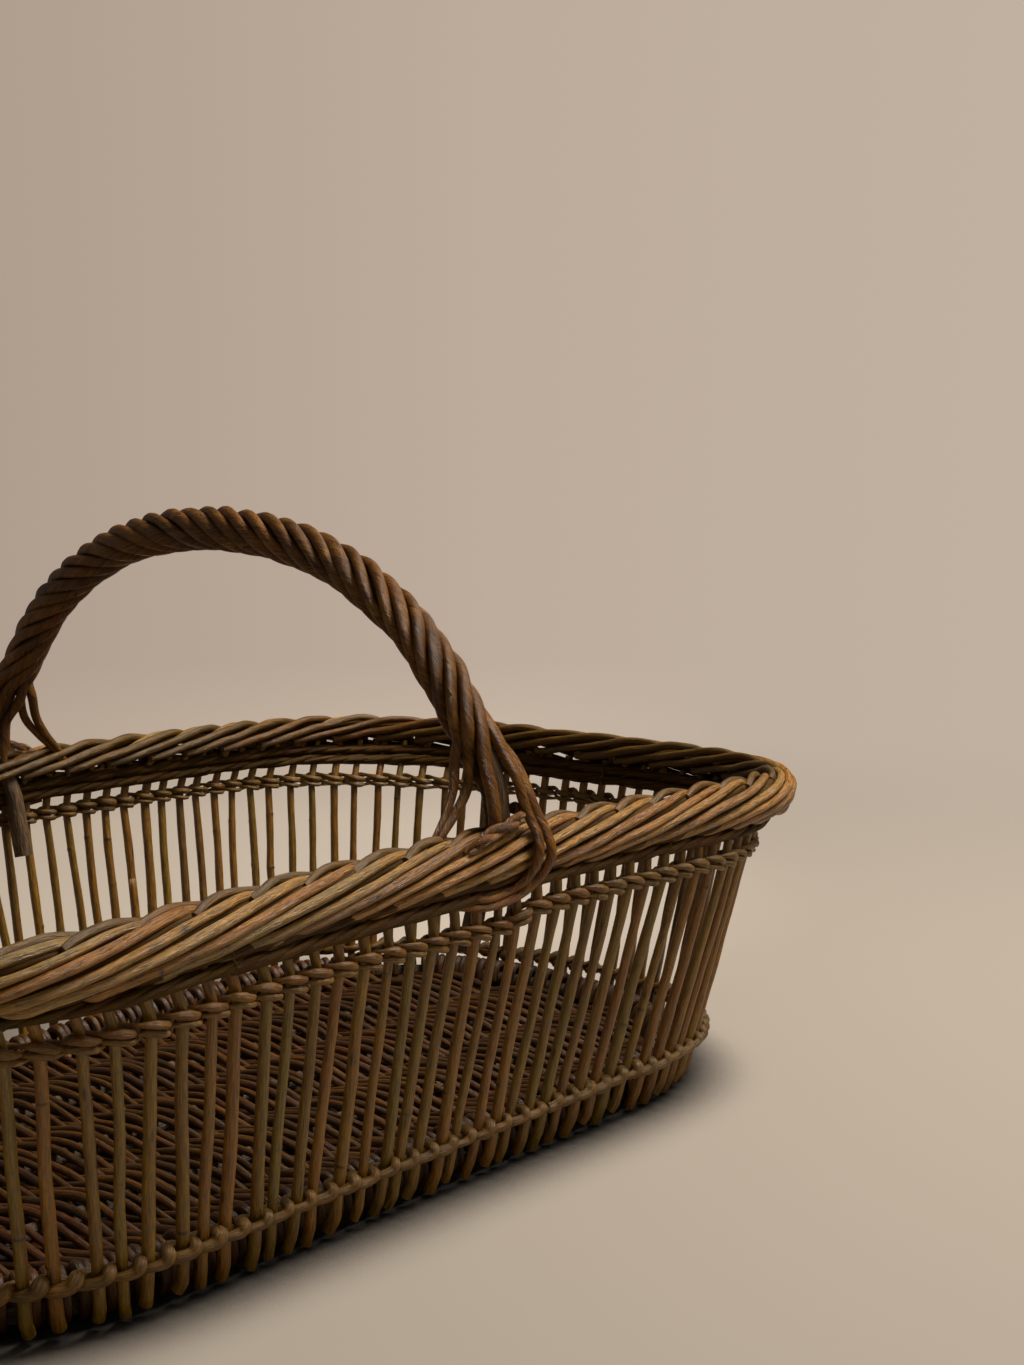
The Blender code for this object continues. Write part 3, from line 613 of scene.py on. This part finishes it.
kinks = (from_scars * rng.normal(0, KINK_SLOPE, (STAKE_COUNT, 1, len(SCAR_BANDS)))).sum(axis=2)
bends = wander(rng, STAKE_COUNT, levels, wavelength=0.18, amplitude=0.45 * MM)
turns = turns + (bends + kinks) * bow * QUADRANTS / BASE_LENGTH
paths = on_wall(turns, levels, wander(rng, STAKE_COUNT, levels, wavelength=0.15, amplitude=0.35 * MM))
fading = np.linspace(1, 0, len(FOOT_OUTS))
foot_ends = rng.uniform(0, 1, (STAKE_COUNT, 1)) ** 2 * FOOT_UNEVENNESS * fading
splay = rng.normal(0, FOOT_SPLAY, (STAKE_COUNT, 1)) * fading
foot = on_wall(turns[:, :1] + splay * QUADRANTS / BASE_LENGTH, FOOT_RISES * MM + foot_ends, FOOT_OUTS * MM)
paths = np.concatenate([foot, paths], axis=1)
scars = np.concatenate([np.zeros((STAKE_COUNT, len(FOOT_OUTS))), scars], axis=1)
size = rng.uniform(0.88, 1.08, (STAKE_COUNT, 1))
radii = STAKE_RADIUS * size * np.linspace(*STAKE_TAPER, paths.shape[1])
rods("wall_stakes", paths, radii, sides=12, seed=42, finishes=(STAKE_BARK, CUT_WILLOW),
     node=[f"stake_panel_{number:02d}" for number in range(1, STAKE_PANELS + 1)],
     flat=0.05, scars=scars)

# Fitches: pairs of willow rods that cross between every two stakes, each in front of one and behind the
# next. The lower pair rises to a kinked, split knob beside each stake. The upper rows slope down to the
# right. A row of a shape is a place in stakes, millimetres out and up, and a share of the thickness.
FITCH_PIECES = 5
FITCH_STEPS = 20
FITCH_OVERLAP = 0.7
LOWER_FITCH_HEIGHT = 0.0265
LOWER_FITCH_RADIUS = 0.0024
UPPER_FITCH_RADIUS = 0.0019
SHAPE_SAMPLES = 201
SMOOTHING = 11
SPLIT_PLACE = 0.36
SPLIT_LENGTH = 0.16
LOWER_SHAPE = np.array((
    (-0.50, 1.4, -1.4, 0.92),
    (-0.25, 3.6, -1.2, 0.98),
    (0.0, 4.6, -0.9, 1.0),
    (0.16, 5.1, -0.4, 1.04),
    (0.28, 5.6, 0.8, 1.14),
    (0.37, 4.7, 2.0, 1.20),
    (0.46, 2.2, 2.2, 1.08),
    (0.58, -1.2, 1.4, 0.95),
    (0.80, -3.8, 0.6, 0.95),
    (1.0, -4.5, 0.0, 1.0),
    (1.25, -3.0, -0.9, 0.95),
    (1.50, 1.4, -1.4, 0.92),
))
UPPER_SHAPE = np.array((
    (-0.50, 2.2, 1.3, 0.52),
    (-0.28, 3.9, 1.1, 0.86),
    (0.0, 4.5, 0.2, 1.12),
    (0.28, 4.0, -1.0, 0.88),
    (0.50, 1.6, -1.4, 0.52),
    (0.75, -3.2, -0.5, 0.92),
    (1.0, -4.1, 0.0, 1.0),
    (1.25, -2.4, 0.6, 0.88),
    (1.50, 2.2, 1.3, 0.52),
))
# The upper rows dip on the front side, left of the handle's foot, by millimetres at stake numbers.
DIP_PLACES = (58, 68, 80, 84, 87, 91.0, 91.9)
DIPS = (0.0, -3.0, -2.0, -2.2, -3.2, -4.8, 0.0)
# Thin young bark, brown with marked streaks and a soft gloss.
FITCH_BARK = willow_bark("willow_bark_fitches", [
    (0.0, "624926"), (0.4, "826438"), (0.7, "6E5830"), (1.0, "7A542D"),
], patch="8C6A3C", gloss=0.36, streaks=0.65)


def dip(places):
    return np.interp(places % STAKE_COUNT, DIP_PLACES, DIPS) * MM


def fitch(name, rows, shape, radius, seed, dip_share):
    """Rows of crossing rods. Each row has a height and a size."""
    rng = np.random.default_rng(seed)
    stakes_each = STAKE_COUNT // FITCH_PIECES
    run = np.linspace(-FITCH_OVERLAP, stakes_each + FITCH_OVERLAP, stakes_each * FITCH_STEPS)
    grid = np.linspace(shape[0, 0], shape[-1, 0], SHAPE_SAMPLES)
    window = np.hanning(SMOOTHING) / np.hanning(SMOOTHING).sum()
    margin = SMOOTHING // 2
    tables = []
    for column in (1, 2, 3):
        table = np.interp(grid[:-1], shape[:, 0], shape[:, column])
        smooth = np.convolve(np.concatenate([table[-margin:], table, table[:margin]]), window, "valid")
        tables.append(np.append(smooth, smooth[0]))
    all_paths, all_radii, all_worn = [], [], []
    for height, grow in rows:
        starts = np.repeat(np.arange(FITCH_PIECES) * stakes_each, 2)[:, None]
        sides = np.tile((0, 1), FITCH_PIECES)[:, None]
        places = starts + run
        count = len(places)
        phase = (places - sides) % 2 - 0.5
        stake_size = 1 + wander(rng, count, places, wavelength=2.3, amplitude=0.16)
        out, rise, girth = (np.interp(phase, grid, table) for table in tables)
        out = out * MM + wander(rng, count, places, wavelength=7.0, amplitude=0.3 * MM)
        rise = rise * MM * grow * stake_size + wander(rng, count, places, wavelength=5.0, amplitude=0.4 * MM)
        rise = rise + dip_share * dip(places)
        all_paths.append(on_wall(places / STAKE_COUNT * QUADRANTS, height, out, rise))
        all_radii.append(radius * grow * girth * stake_size * np.interp(run, (0, stakes_each), (1.05, 0.92)))
        split = np.exp(-((phase - SPLIT_PLACE) / SPLIT_LENGTH) ** 2)
        all_worn.append(split * rng.uniform(0.3, 1.1, (count, 1)))
    rods(name, np.concatenate(all_paths), np.concatenate(all_radii), sides=9, seed=seed + 1,
         finishes=(FITCH_BARK, CUT_WILLOW), flat=0.10, worn=np.concatenate(all_worn),
         node=[name.replace("rods", "outer"), name.replace("rods", "inner")])


lower_rows = [(LOWER_FITCH_HEIGHT, 1.0)]
upper_rows = [(UPPER_FITCH_HEIGHT + 1.9 * MM, 1.0), (UPPER_FITCH_HEIGHT - 1.7 * MM, 0.82)]
fitch("lower_fitch_rods", lower_rows, LOWER_SHAPE, LOWER_FITCH_RADIUS, seed=51, dip_share=0)
fitch("upper_fitch_rods", upper_rows, UPPER_SHAPE, UPPER_FITCH_RADIUS, seed=55, dip_share=1)

# Wale: two rows of willow rods close under the border, each over two stakes and behind two, which show
# inside and outside as long thin strokes that rise to the right. Each row has a height, and millimetres
# of lift, of swing in and out, and of radius.
WALE_ROWS = ((0.1490, 1.9, 4.2, 1.9), (0.1550, 1.6, 4.6, 1.9))
WALE_PIECES = 6
WALE_LANES = 6
WALE_STATIONS = 150
WALE_OVERLAP = 0.6
WALE_DIP_SHARE = 0.4
# Bark in its own deep browns, darkened further as painted shade for the rods under the border, the
# dullest of the basket.
WALE_BARK_WITH_PAINTED_SHADE = willow_bark("willow_bark_wale_with_painted_shade", [
    (0.0, "3E2A15"), (0.3, "563E1D"), (0.6, "4E2F16"), (0.8, "503F20"), (1.0, "60411F"),
], patch="523E1C", gloss=0.5, rich=1.9, shine=0.2)

rng = np.random.default_rng(61)
stakes_each = STAKE_COUNT // WALE_PIECES
starts = np.repeat(np.arange(WALE_PIECES) * stakes_each, WALE_LANES)[:, None]
lane = np.tile(np.arange(WALE_LANES), WALE_PIECES)[:, None]
run = np.linspace(-WALE_OVERLAP, stakes_each + WALE_OVERLAP, WALE_STATIONS)
places = starts + run
count = len(places)
all_paths, all_radii = [], []
for height, lift, swing, radius in WALE_ROWS:
    phase = math.tau * (places - lane) / WALE_LANES + rng.uniform(0, 1)
    out = swing * MM * np.cos(phase) + wander(rng, count, places, wavelength=9.0, amplitude=0.4 * MM)
    rise = lift * MM * np.sin(phase) + wander(rng, count, places, wavelength=9.0, amplitude=0.5 * MM)
    rise = rise + WALE_DIP_SHARE * dip(places)
    all_paths.append(on_wall(places / STAKE_COUNT * QUADRANTS, height, out, rise))
    taper = np.interp(run, (0, stakes_each), (1.1, 0.85))
    all_radii.append(radius * MM * taper * rng.uniform(0.85, 1.1, (count, 1)))
rods("wale_rods", np.concatenate(all_paths), np.concatenate(all_radii), sides=9, seed=62,
     finishes=(WALE_BARK_WITH_PAINTED_SHADE, CUT_WILLOW), node=["wale_rod_1", "wale_rod_2"])

# Border: 60 willow rods, the tips of the stakes rolled down over one another. Each comes out from under
# the wall's top, round an elbow, up across the face in a long slant, over the top and down inside. A row
# of keys has millimetres along, degrees round the roll from outwards to up, and millimetres of reach.
BORDER_RODS = 60
BORDER_ROD_RADIUS = 0.00238
BORDER_ROD_GIRTH = ((0, 0.10, 0.24, 0.40, 1), (0.80, 0.95, 1.16, 1.04, 0.92))
BORDER_STATIONS = 100
BORDER_REACH = 0.0115
BORDER_SAG = 1.3
BORDER_SCAR_LENGTH = 0.007
BORDER_KEYS = np.array((
    (2, -132, 4.2),
    (4, -108, 6.4),
    (6, -87, 8.6),
    (10, -72, 9.9),
    (15, -62, 10.1),
    (24, -53, 9.7),
    (38, -42, 9.4),
    (56, -25, 9.2),
    (82, 0, 9.1),
    (112, 36, 9.2),
    (136, 70, 9.3),
    (152, 99, 8.6),
    (162, 120, 7.0),
    (170, 136, 4.6),
))
# The best bark of the basket, golden to red brown, with deep streaks and the strongest gloss.
BORDER_BARK = willow_bark("willow_bark_border", [
    (0.0, "8A6030"), (0.2, "B28A50"), (0.4, "957E49"), (0.55, "BB8A52"), (0.75, "996936"), (0.9, "BA9A63"),
    (1.0, "88693A"),
], patch="B8874B", gloss=0.24, streaks=0.62, relief=1.0, shine=0.8)


def through(keys, count):
    """Even steps along a smooth curve through rows of numbers, for a stack of such tables."""
    keys = np.asarray(keys, dtype=float)
    padded = np.concatenate([
        2 * keys[..., :1, :] - keys[..., 1:2, :], keys, 2 * keys[..., -1:, :] - keys[..., -2:-1, :],
    ], axis=-2)
    spans = keys.shape[-2] - 1
    places = np.linspace(0, spans, count)
    first = np.minimum(places.astype(int), spans - 1)
    t = (places - first)[:, None]
    p0, p1, p2, p3 = (padded[..., first + offset, :] for offset in range(4))
    return 0.5 * (2 * p1 + (p2 - p0) * t + (2 * p0 - 5 * p1 + 4 * p2 - p3) * t * t
                  + (3 * p1 - p0 - 3 * p2 + p3) * t * t * t)


rng = np.random.default_rng(71)
keys = np.broadcast_to(BORDER_KEYS, (BORDER_RODS,) + BORDER_KEYS.shape).copy()
keys[..., 0] += rng.normal(0, 3.4, (BORDER_RODS, 1))
keys[..., 1] += rng.normal(0, 1.8, keys.shape[:2]) + rng.normal(0, 1.5, (BORDER_RODS, 1))
keys[..., 2] += rng.normal(0, 0.16, keys.shape[:2]) + rng.normal(0, 0.15, (BORDER_RODS, 1)) - 0.1
curve = through(keys, BORDER_STATIONS)
border_starts = (np.arange(BORDER_RODS) + 0.25) / BORDER_RODS * QUADRANTS
turns = border_starts[:, None] + curve[..., 0] * MM / BORDER_LENGTH * QUADRANTS
angles = np.radians(curve[..., 1])
size = rng.uniform(0.84, 1.08, (BORDER_RODS, 1))
along = np.linspace(0, 1, BORDER_STATIONS)
radii = BORDER_ROD_RADIUS * size * np.interp(along, *BORDER_ROD_GIRTH)
reach = curve[..., 2] * MM
out = np.minimum(reach, BORDER_REACH - radii) * np.cos(angles)
rise = reach * np.sin(angles) * np.where(np.sin(angles) < 0, BORDER_SAG, 1.0)
scars = 0
for _ in range(2):
    scar_places = rng.uniform(0.25, 0.8, (BORDER_RODS, 1))
    marks = np.exp(-((along - scar_places) / BORDER_SCAR_LENGTH) ** 2)
    scars = scars + marks * rng.uniform(0, 1, (BORDER_RODS, 1))
rods("border_rods", on_wall(turns, BORDER_HEIGHT, out, rise), radii, sides=10, seed=72,
     finishes=(BORDER_BARK, CUT_WILLOW), node=["border_roll"], flat=0.06, scars=scars)

# Border edge: short willow rods along the inner top edge that lock the border, each out from under the
# next on top and down inside. Lengths in the wale's bark, darkened as painted shade, close the roll below
# and fill its middle. Their keys are read like the border's.
EDGE_STATIONS = 32
EDGE_TAPER = (0.92, 1.04)
EDGE_KEYS = np.array((
    (-10, 80, 6.8),
    (-3, 92, 9.0),
    (6, 106, 10.7),
    (17, 120, 11.4),
    (31, 138, 10.9),
    (46, 155, 10.0),
    (62, 172, 9.3),
    (76, 190, 8.6),
    (88, 208, 7.2),
))
UNDER_KEYS = np.array((
    (-18, -118, 8.4),
    (0, -106, 10.4),
    (20, -98, 11.2),
    (42, -88, 11.4),
    (64, -78, 10.8),
    (84, -66, 9.4),
    (100, -58, 7.6),
))
MIDDLE_KEYS = np.array((
    (-20, -70, 4.6),
    (0, -30, 5.2),
    (24, 20, 5.4),
    (48, 70, 5.4),
    (70, 120, 5.2),
    (90, 170, 5.0),
))
# Plain brown bark with a soft gloss, between the stakes and the border in tone: partly the rods' own
# tone, and partly painted shade that darkens them for the far rim's inner side.
EDGE_BARK_WITH_PAINTED_SHADE = willow_bark("willow_bark_edge_with_painted_shade", [
    (0.0, "5A4322"), (0.3, "6E5226"), (0.6, "5C4A28"), (0.8, "774F26"), (1.0, "665230"),
], patch="74562C", gloss=0.34)


def short_rods(base_keys, shift, radius, scatter):
    """Sixty rods round the roll, with millimetres of shift along it, of radius and of scatter."""
    keys = np.broadcast_to(base_keys, (BORDER_RODS,) + base_keys.shape).copy()
    keys[..., 0] += rng.normal(0, scatter, (BORDER_RODS, 1))
    keys[..., 1] += rng.normal(0, 2.0, keys.shape[:2])
    keys[..., 2] += rng.normal(0, 0.15, keys.shape[:2])
    curve = through(keys, EDGE_STATIONS)
    turns = border_starts[:, None] + (curve[..., 0] + shift) * MM / BORDER_LENGTH * QUADRANTS
    angles = np.radians(curve[..., 1])
    radii = radius * MM * rng.uniform(0.9, 1.07, (BORDER_RODS, 1)) * np.linspace(*EDGE_TAPER, EDGE_STATIONS)
    reach = curve[..., 2] * MM
    return on_wall(turns, BORDER_HEIGHT, reach * np.cos(angles), reach * np.sin(angles)), radii


rng = np.random.default_rng(81)
paths, radii = short_rods(EDGE_KEYS, shift=10, radius=2.3, scatter=1.6)
rods("border_edge_rods", paths, radii, sides=10, seed=82, finishes=(EDGE_BARK_WITH_PAINTED_SHADE, CUT_WILLOW),
     node=["border_edge_rod"], flat=0.06)
under_paths, under_radii = short_rods(UNDER_KEYS, shift=0, radius=1.8, scatter=5.0)
middle_paths, middle_radii = short_rods(MIDDLE_KEYS, shift=0, radius=2.9, scatter=4.0)
# Painted shade: the under and middle lengths wear the wale's darkened bark.
rods("border_under_rods", np.concatenate([under_paths, middle_paths]),
     np.concatenate([under_radii, middle_radii]), sides=8, seed=83, finishes=(WALE_BARK_WITH_PAINTED_SHADE, CUT_WILLOW),
     node=["border_roll"], flat=0.06)

# Handle core: one thick willow rod bent from foot to foot, its ends pushed down inside the wall.
# It shows at the feet and between the roping rods. The feet lean out a little above the border.
HANDLE_HALF_SPAN = 0.1765
HANDLE_RISE = 0.142
HANDLE_FULLNESS = 2.12
HANDLE_OFFSET = 0.007
CORE_RADIUS = 0.005
CORE_END_HEIGHT = 0.118
CORE_END_HALF_SPAN = 0.1655
CORE_WORN = 0.8
LEAN_HEIGHTS = (0.150, 0.180, 0.192, 0.240)
LEAN_ALONG = 0.0050
LEAN_ACROSS = 0.0046
ARC_SAMPLES = 90
BOW_SAMPLES = 600

angles = np.linspace(0, math.pi / 2, ARC_SAMPLES)
ys = HANDLE_HALF_SPAN * np.sin(angles) ** (2 / HANDLE_FULLNESS)
zs = BORDER_HEIGHT + HANDLE_RISE * np.cos(angles).clip(0) ** (2 / HANDLE_FULLNESS)
side = np.stack([np.append(ys, CORE_END_HALF_SPAN), np.append(zs, CORE_END_HEIGHT)], axis=1)
whole = np.concatenate([side[::-1] * (-1, 1), side[1:]])
whole = np.insert(whole, 0, HANDLE_OFFSET, axis=1)
lengths = lengths_along(whole)
BOW_LENGTH = lengths[-1]
bow_places = np.linspace(0, BOW_LENGTH, BOW_SAMPLES)
BOW = at_places(bow_places, lengths, whole)
foot_lean = np.interp(BOW[:, 2], LEAN_HEIGHTS, (0, 1, 1, 0))
foot_lean = foot_lean * foot_lean * (3 - 2 * foot_lean) * np.sign(BOW[:, 1])
BOW[:, 0] -= foot_lean * LEAN_ALONG
BOW[:, 1] += foot_lean * LEAN_ACROSS
BOW_DIRECTIONS = np.gradient(BOW, axis=0)
BOW_DIRECTIONS /= np.linalg.norm(BOW_DIRECTIONS, axis=1, keepdims=True)


def on_bow(places, spin, reach):
    """Points round the bow: a length from its front end, an angle round it and a distance from its middle."""
    places, spin, reach = np.broadcast_arrays(places, spin, reach)
    across = np.array((1.0, 0.0, 0.0))
    over = np.cross(across, at_places(places, bow_places, BOW_DIRECTIONS))
    around = np.cos(spin)[..., None] * across + np.sin(spin)[..., None] * over
    return at_places(places, bow_places, BOW) + around * reach[..., None]


rods("handle_core_rod", on_bow(np.linspace(0, BOW_LENGTH, ARC_SAMPLES), 0.0, 0.0)[None], CORE_RADIUS,
     sides=14, seed=91, finishes=(CORE_BARK, CUT_WILLOW), node=["handle_core"],
     worn=CORE_WORN)

# Handle roping: seven willow rods wound side by side round the core, their bark wrinkled by the twist.
# At each foot two run down to the border's inner edge, two lap over the border, one goes straight down
# in front and two behind. Places are millimetres at the front foot, the far foot half a turn round.
ROPE_COUNT = 7
ROPE_RADIUS = 0.00327
ROPE_TURN_LENGTH = 0.100
ROPE_SINK = 0.9
ROPE_STATIONS = 170
FOOT_HEIGHT = 0.217
FIRST_SPIN = 215
CALM_LENGTH = 0.03
STRAND_STATIONS = 230
KEY_STEPS = 14
FOOT_KEYS = (
    ((-1, -164.5, 208), (-6.5, -168.5, 195), (-14.5, -170.7, 184.5), (-24.5, -172.5, 174.5),
     (-28, -171.5, 168)),
    ((3.5, -169, 208), (-1.5, -172.2, 195), (-11, -173, 184.5), (-22, -174, 175), (-26, -173, 168)),
    ((4, -178.5, 206), (4.4, -181.5, 196), (4.7, -183.2, 186), (5, -183.5, 176), (5.5, -182, 168)),
    ((16.5, -180.5, 208), (18.6, -185.4, 198), (20.5, -187, 188.7), (23.5, -188.6, 180), (25, -191.9, 172.4),
     (23.5, -194.3, 164.5), (21, -191.4, 155), (14.5, -186.5, 148), (3, -186.5, 146.3), (-7, -186, 146.8),
     (-18, -182, 149)),
    ((22.5, -176.8, 208), (24.4, -183, 198), (26, -186.8, 188.5), (29, -189, 180), (31, -192, 173),
     (32, -194.8, 163.7), (31, -191.3, 154.6), (24, -188, 147.4), (11, -187.5, 143.8), (-5, -186.5, 142.8),
     (-19, -182.5, 145)),
    ((15, -170.5, 206), (19, -175, 194), (19, -177, 182), (18.5, -177, 172), (18, -176.5, 165)),
    ((7, -165.5, 206), (12, -172, 194), (13, -173.5, 182), (13, -174, 172), (13, -174, 165)),
)
END_SIZES = (0.45, 0.5, 1.05, 0.5, 0.5, 0.9, 0.9)
# Twisted bark, red brown, wrinkled along the rod and polished by hands.
ROPE_BARK = willow_bark("willow_bark_roping", [
    (0.0, "5A3412"), (0.3, "7C4C1E"), (0.6, "684822"), (0.8, "8C5826"), (1.0, "70441C"),
], patch="94692F", gloss=0.25, streaks=0.85, patches=0.8, relief=1.0, rich=1.25)

rng = np.random.default_rng(93)
rising = slice(BOW_SAMPLES // 2)
front_start = float(np.interp(FOOT_HEIGHT, BOW[rising, 2], bow_places[rising]))
far_start = BOW_LENGTH - front_start
spacing = 360 / ROPE_COUNT
turned = 360 * (far_start - front_start) / ROPE_TURN_LENGTH
match = 2 * FIRST_SPIN - 180
turned = match + round((turned - match) / spacing) * spacing
run = np.linspace(front_start, far_start, ROPE_STATIONS)
run_share = (run - front_start) / (far_start - front_start)
window = (np.minimum(run - front_start, far_start - run) / CALM_LENGTH).clip(0, 1)
spins = np.radians(FIRST_SPIN - spacing * np.arange(ROPE_COUNT)[:, None] - turned * run_share)
all_runs = np.broadcast_to(run, spins.shape)
spun = spins + wander(rng, ROPE_COUNT, all_runs, wavelength=0.12, amplitude=0.10) * window
uneven = wander(rng, ROPE_COUNT, all_runs, wavelength=0.09, amplitude=0.35 * MM) * window
middles = on_bow(run, spun, CORE_RADIUS + ROPE_SINK * ROPE_RADIUS + uneven)


def foot_curve(inside, role):
    """A strand's end from its last places in the roping, in the front foot's own millimetres."""
    keys = np.concatenate([inside / MM, np.array(FOOT_KEYS[role], dtype=float)])
    return through(keys, KEY_STEPS * len(keys))[KEY_STEPS:] * MM


HALF_TURN = np.array((-1, -1, 1))
HANDLE_MIDDLE = np.array((HANDLE_OFFSET, 0, 0))
paths, radii = [], []
for strand in range(ROPE_COUNT):
    front = foot_curve(middles[strand, [8, 1]], strand)
    flipped = (middles[strand, [-9, -2]] - HANDLE_MIDDLE) * HALF_TURN + HANDLE_MIDDLE
    far_spin = 180 - math.degrees(spins[strand, -1])
    role = round((FIRST_SPIN - far_spin) / spacing) % ROPE_COUNT
    far = (foot_curve(flipped, role) - HANDLE_MIDDLE) * HALF_TURN + HANDLE_MIDDLE
    path = np.concatenate([front[::-1], middles[strand, 2:-2], far])
    lengths = lengths_along(path)
    even_lengths = np.linspace(0, lengths[-1], STRAND_STATIONS)
    paths.append(at_places(even_lengths, lengths, path))
    size_places = (0, lengths[len(front)], lengths[-len(far)], lengths[-1])
    size = np.interp(even_lengths, size_places, (END_SIZES[strand], 1, 1, END_SIZES[role]))
    radii.append(ROPE_RADIUS * size * rng.uniform(0.94, 1.0))
stations = np.broadcast_to(np.linspace(0, 0.6, STRAND_STATIONS), (ROPE_COUNT, STRAND_STATIONS))
worn = wander(rng, ROPE_COUNT, stations, wavelength=0.05, amplitude=0.9).clip(0, 1)
rope_nodes = [f"handle_rope_rod_{number}" for number in range(1, ROPE_COUNT + 1)]
end_nodes = [f"handle_{part}_{foot}" for part in ("lap", "tail") for foot in ("front", "far")]
rods("handle_roping", paths, radii, sides=14, seed=94, finishes=(ROPE_BARK, CUT_WILLOW),
     node=rope_nodes + end_nodes, twist=230.0, flat=0.10, worn=worn)

# Handle knots: at each foot two split ends of the roping, twisted together, lie on the border in front of
# the foot and go in behind the laps. Places are millimetres at the front foot, as for the roping.
KNOT_KEYS = np.array((
    (-20, -188.5, 170.5),
    (-13, -190.3, 174.6),
    (-4, -189.9, 177.2),
    (8, -189.8, 179.2),
    (16, -188.5, 181.5),
    (20.5, -183.5, 184),
    (19, -176.5, 184),
))
KNOT_RADIUS = 0.00175
KNOT_TWIST = 13.0
KNOT_STATIONS = 70
KNOT_WORN = 0.5

knots = []
for flip in (1, -1):
    for twist_start in (0.0, math.pi):
        weave = np.linspace(0, KNOT_TWIST, KNOT_STATIONS) + twist_start
        twisted = np.stack([0 * weave, 1.4 * np.cos(weave), 1.5 * np.sin(weave)], axis=1)
        points = (through(KNOT_KEYS, KNOT_STATIONS) + twisted) * MM
        knots.append((points - HANDLE_MIDDLE) * (flip, flip, 1) + HANDLE_MIDDLE)
swell = np.interp(np.linspace(0, 1, KNOT_STATIONS), (0, 0.2, 1), (0.45, 1.0, 0.9))
rods("handle_knots", knots, KNOT_RADIUS * swell, sides=12, seed=97, finishes=(ROPE_BARK, CUT_WILLOW),
     node=["handle_lap_front", "handle_lap_far"], twist=300.0, flat=0.15, worn=KNOT_WORN)
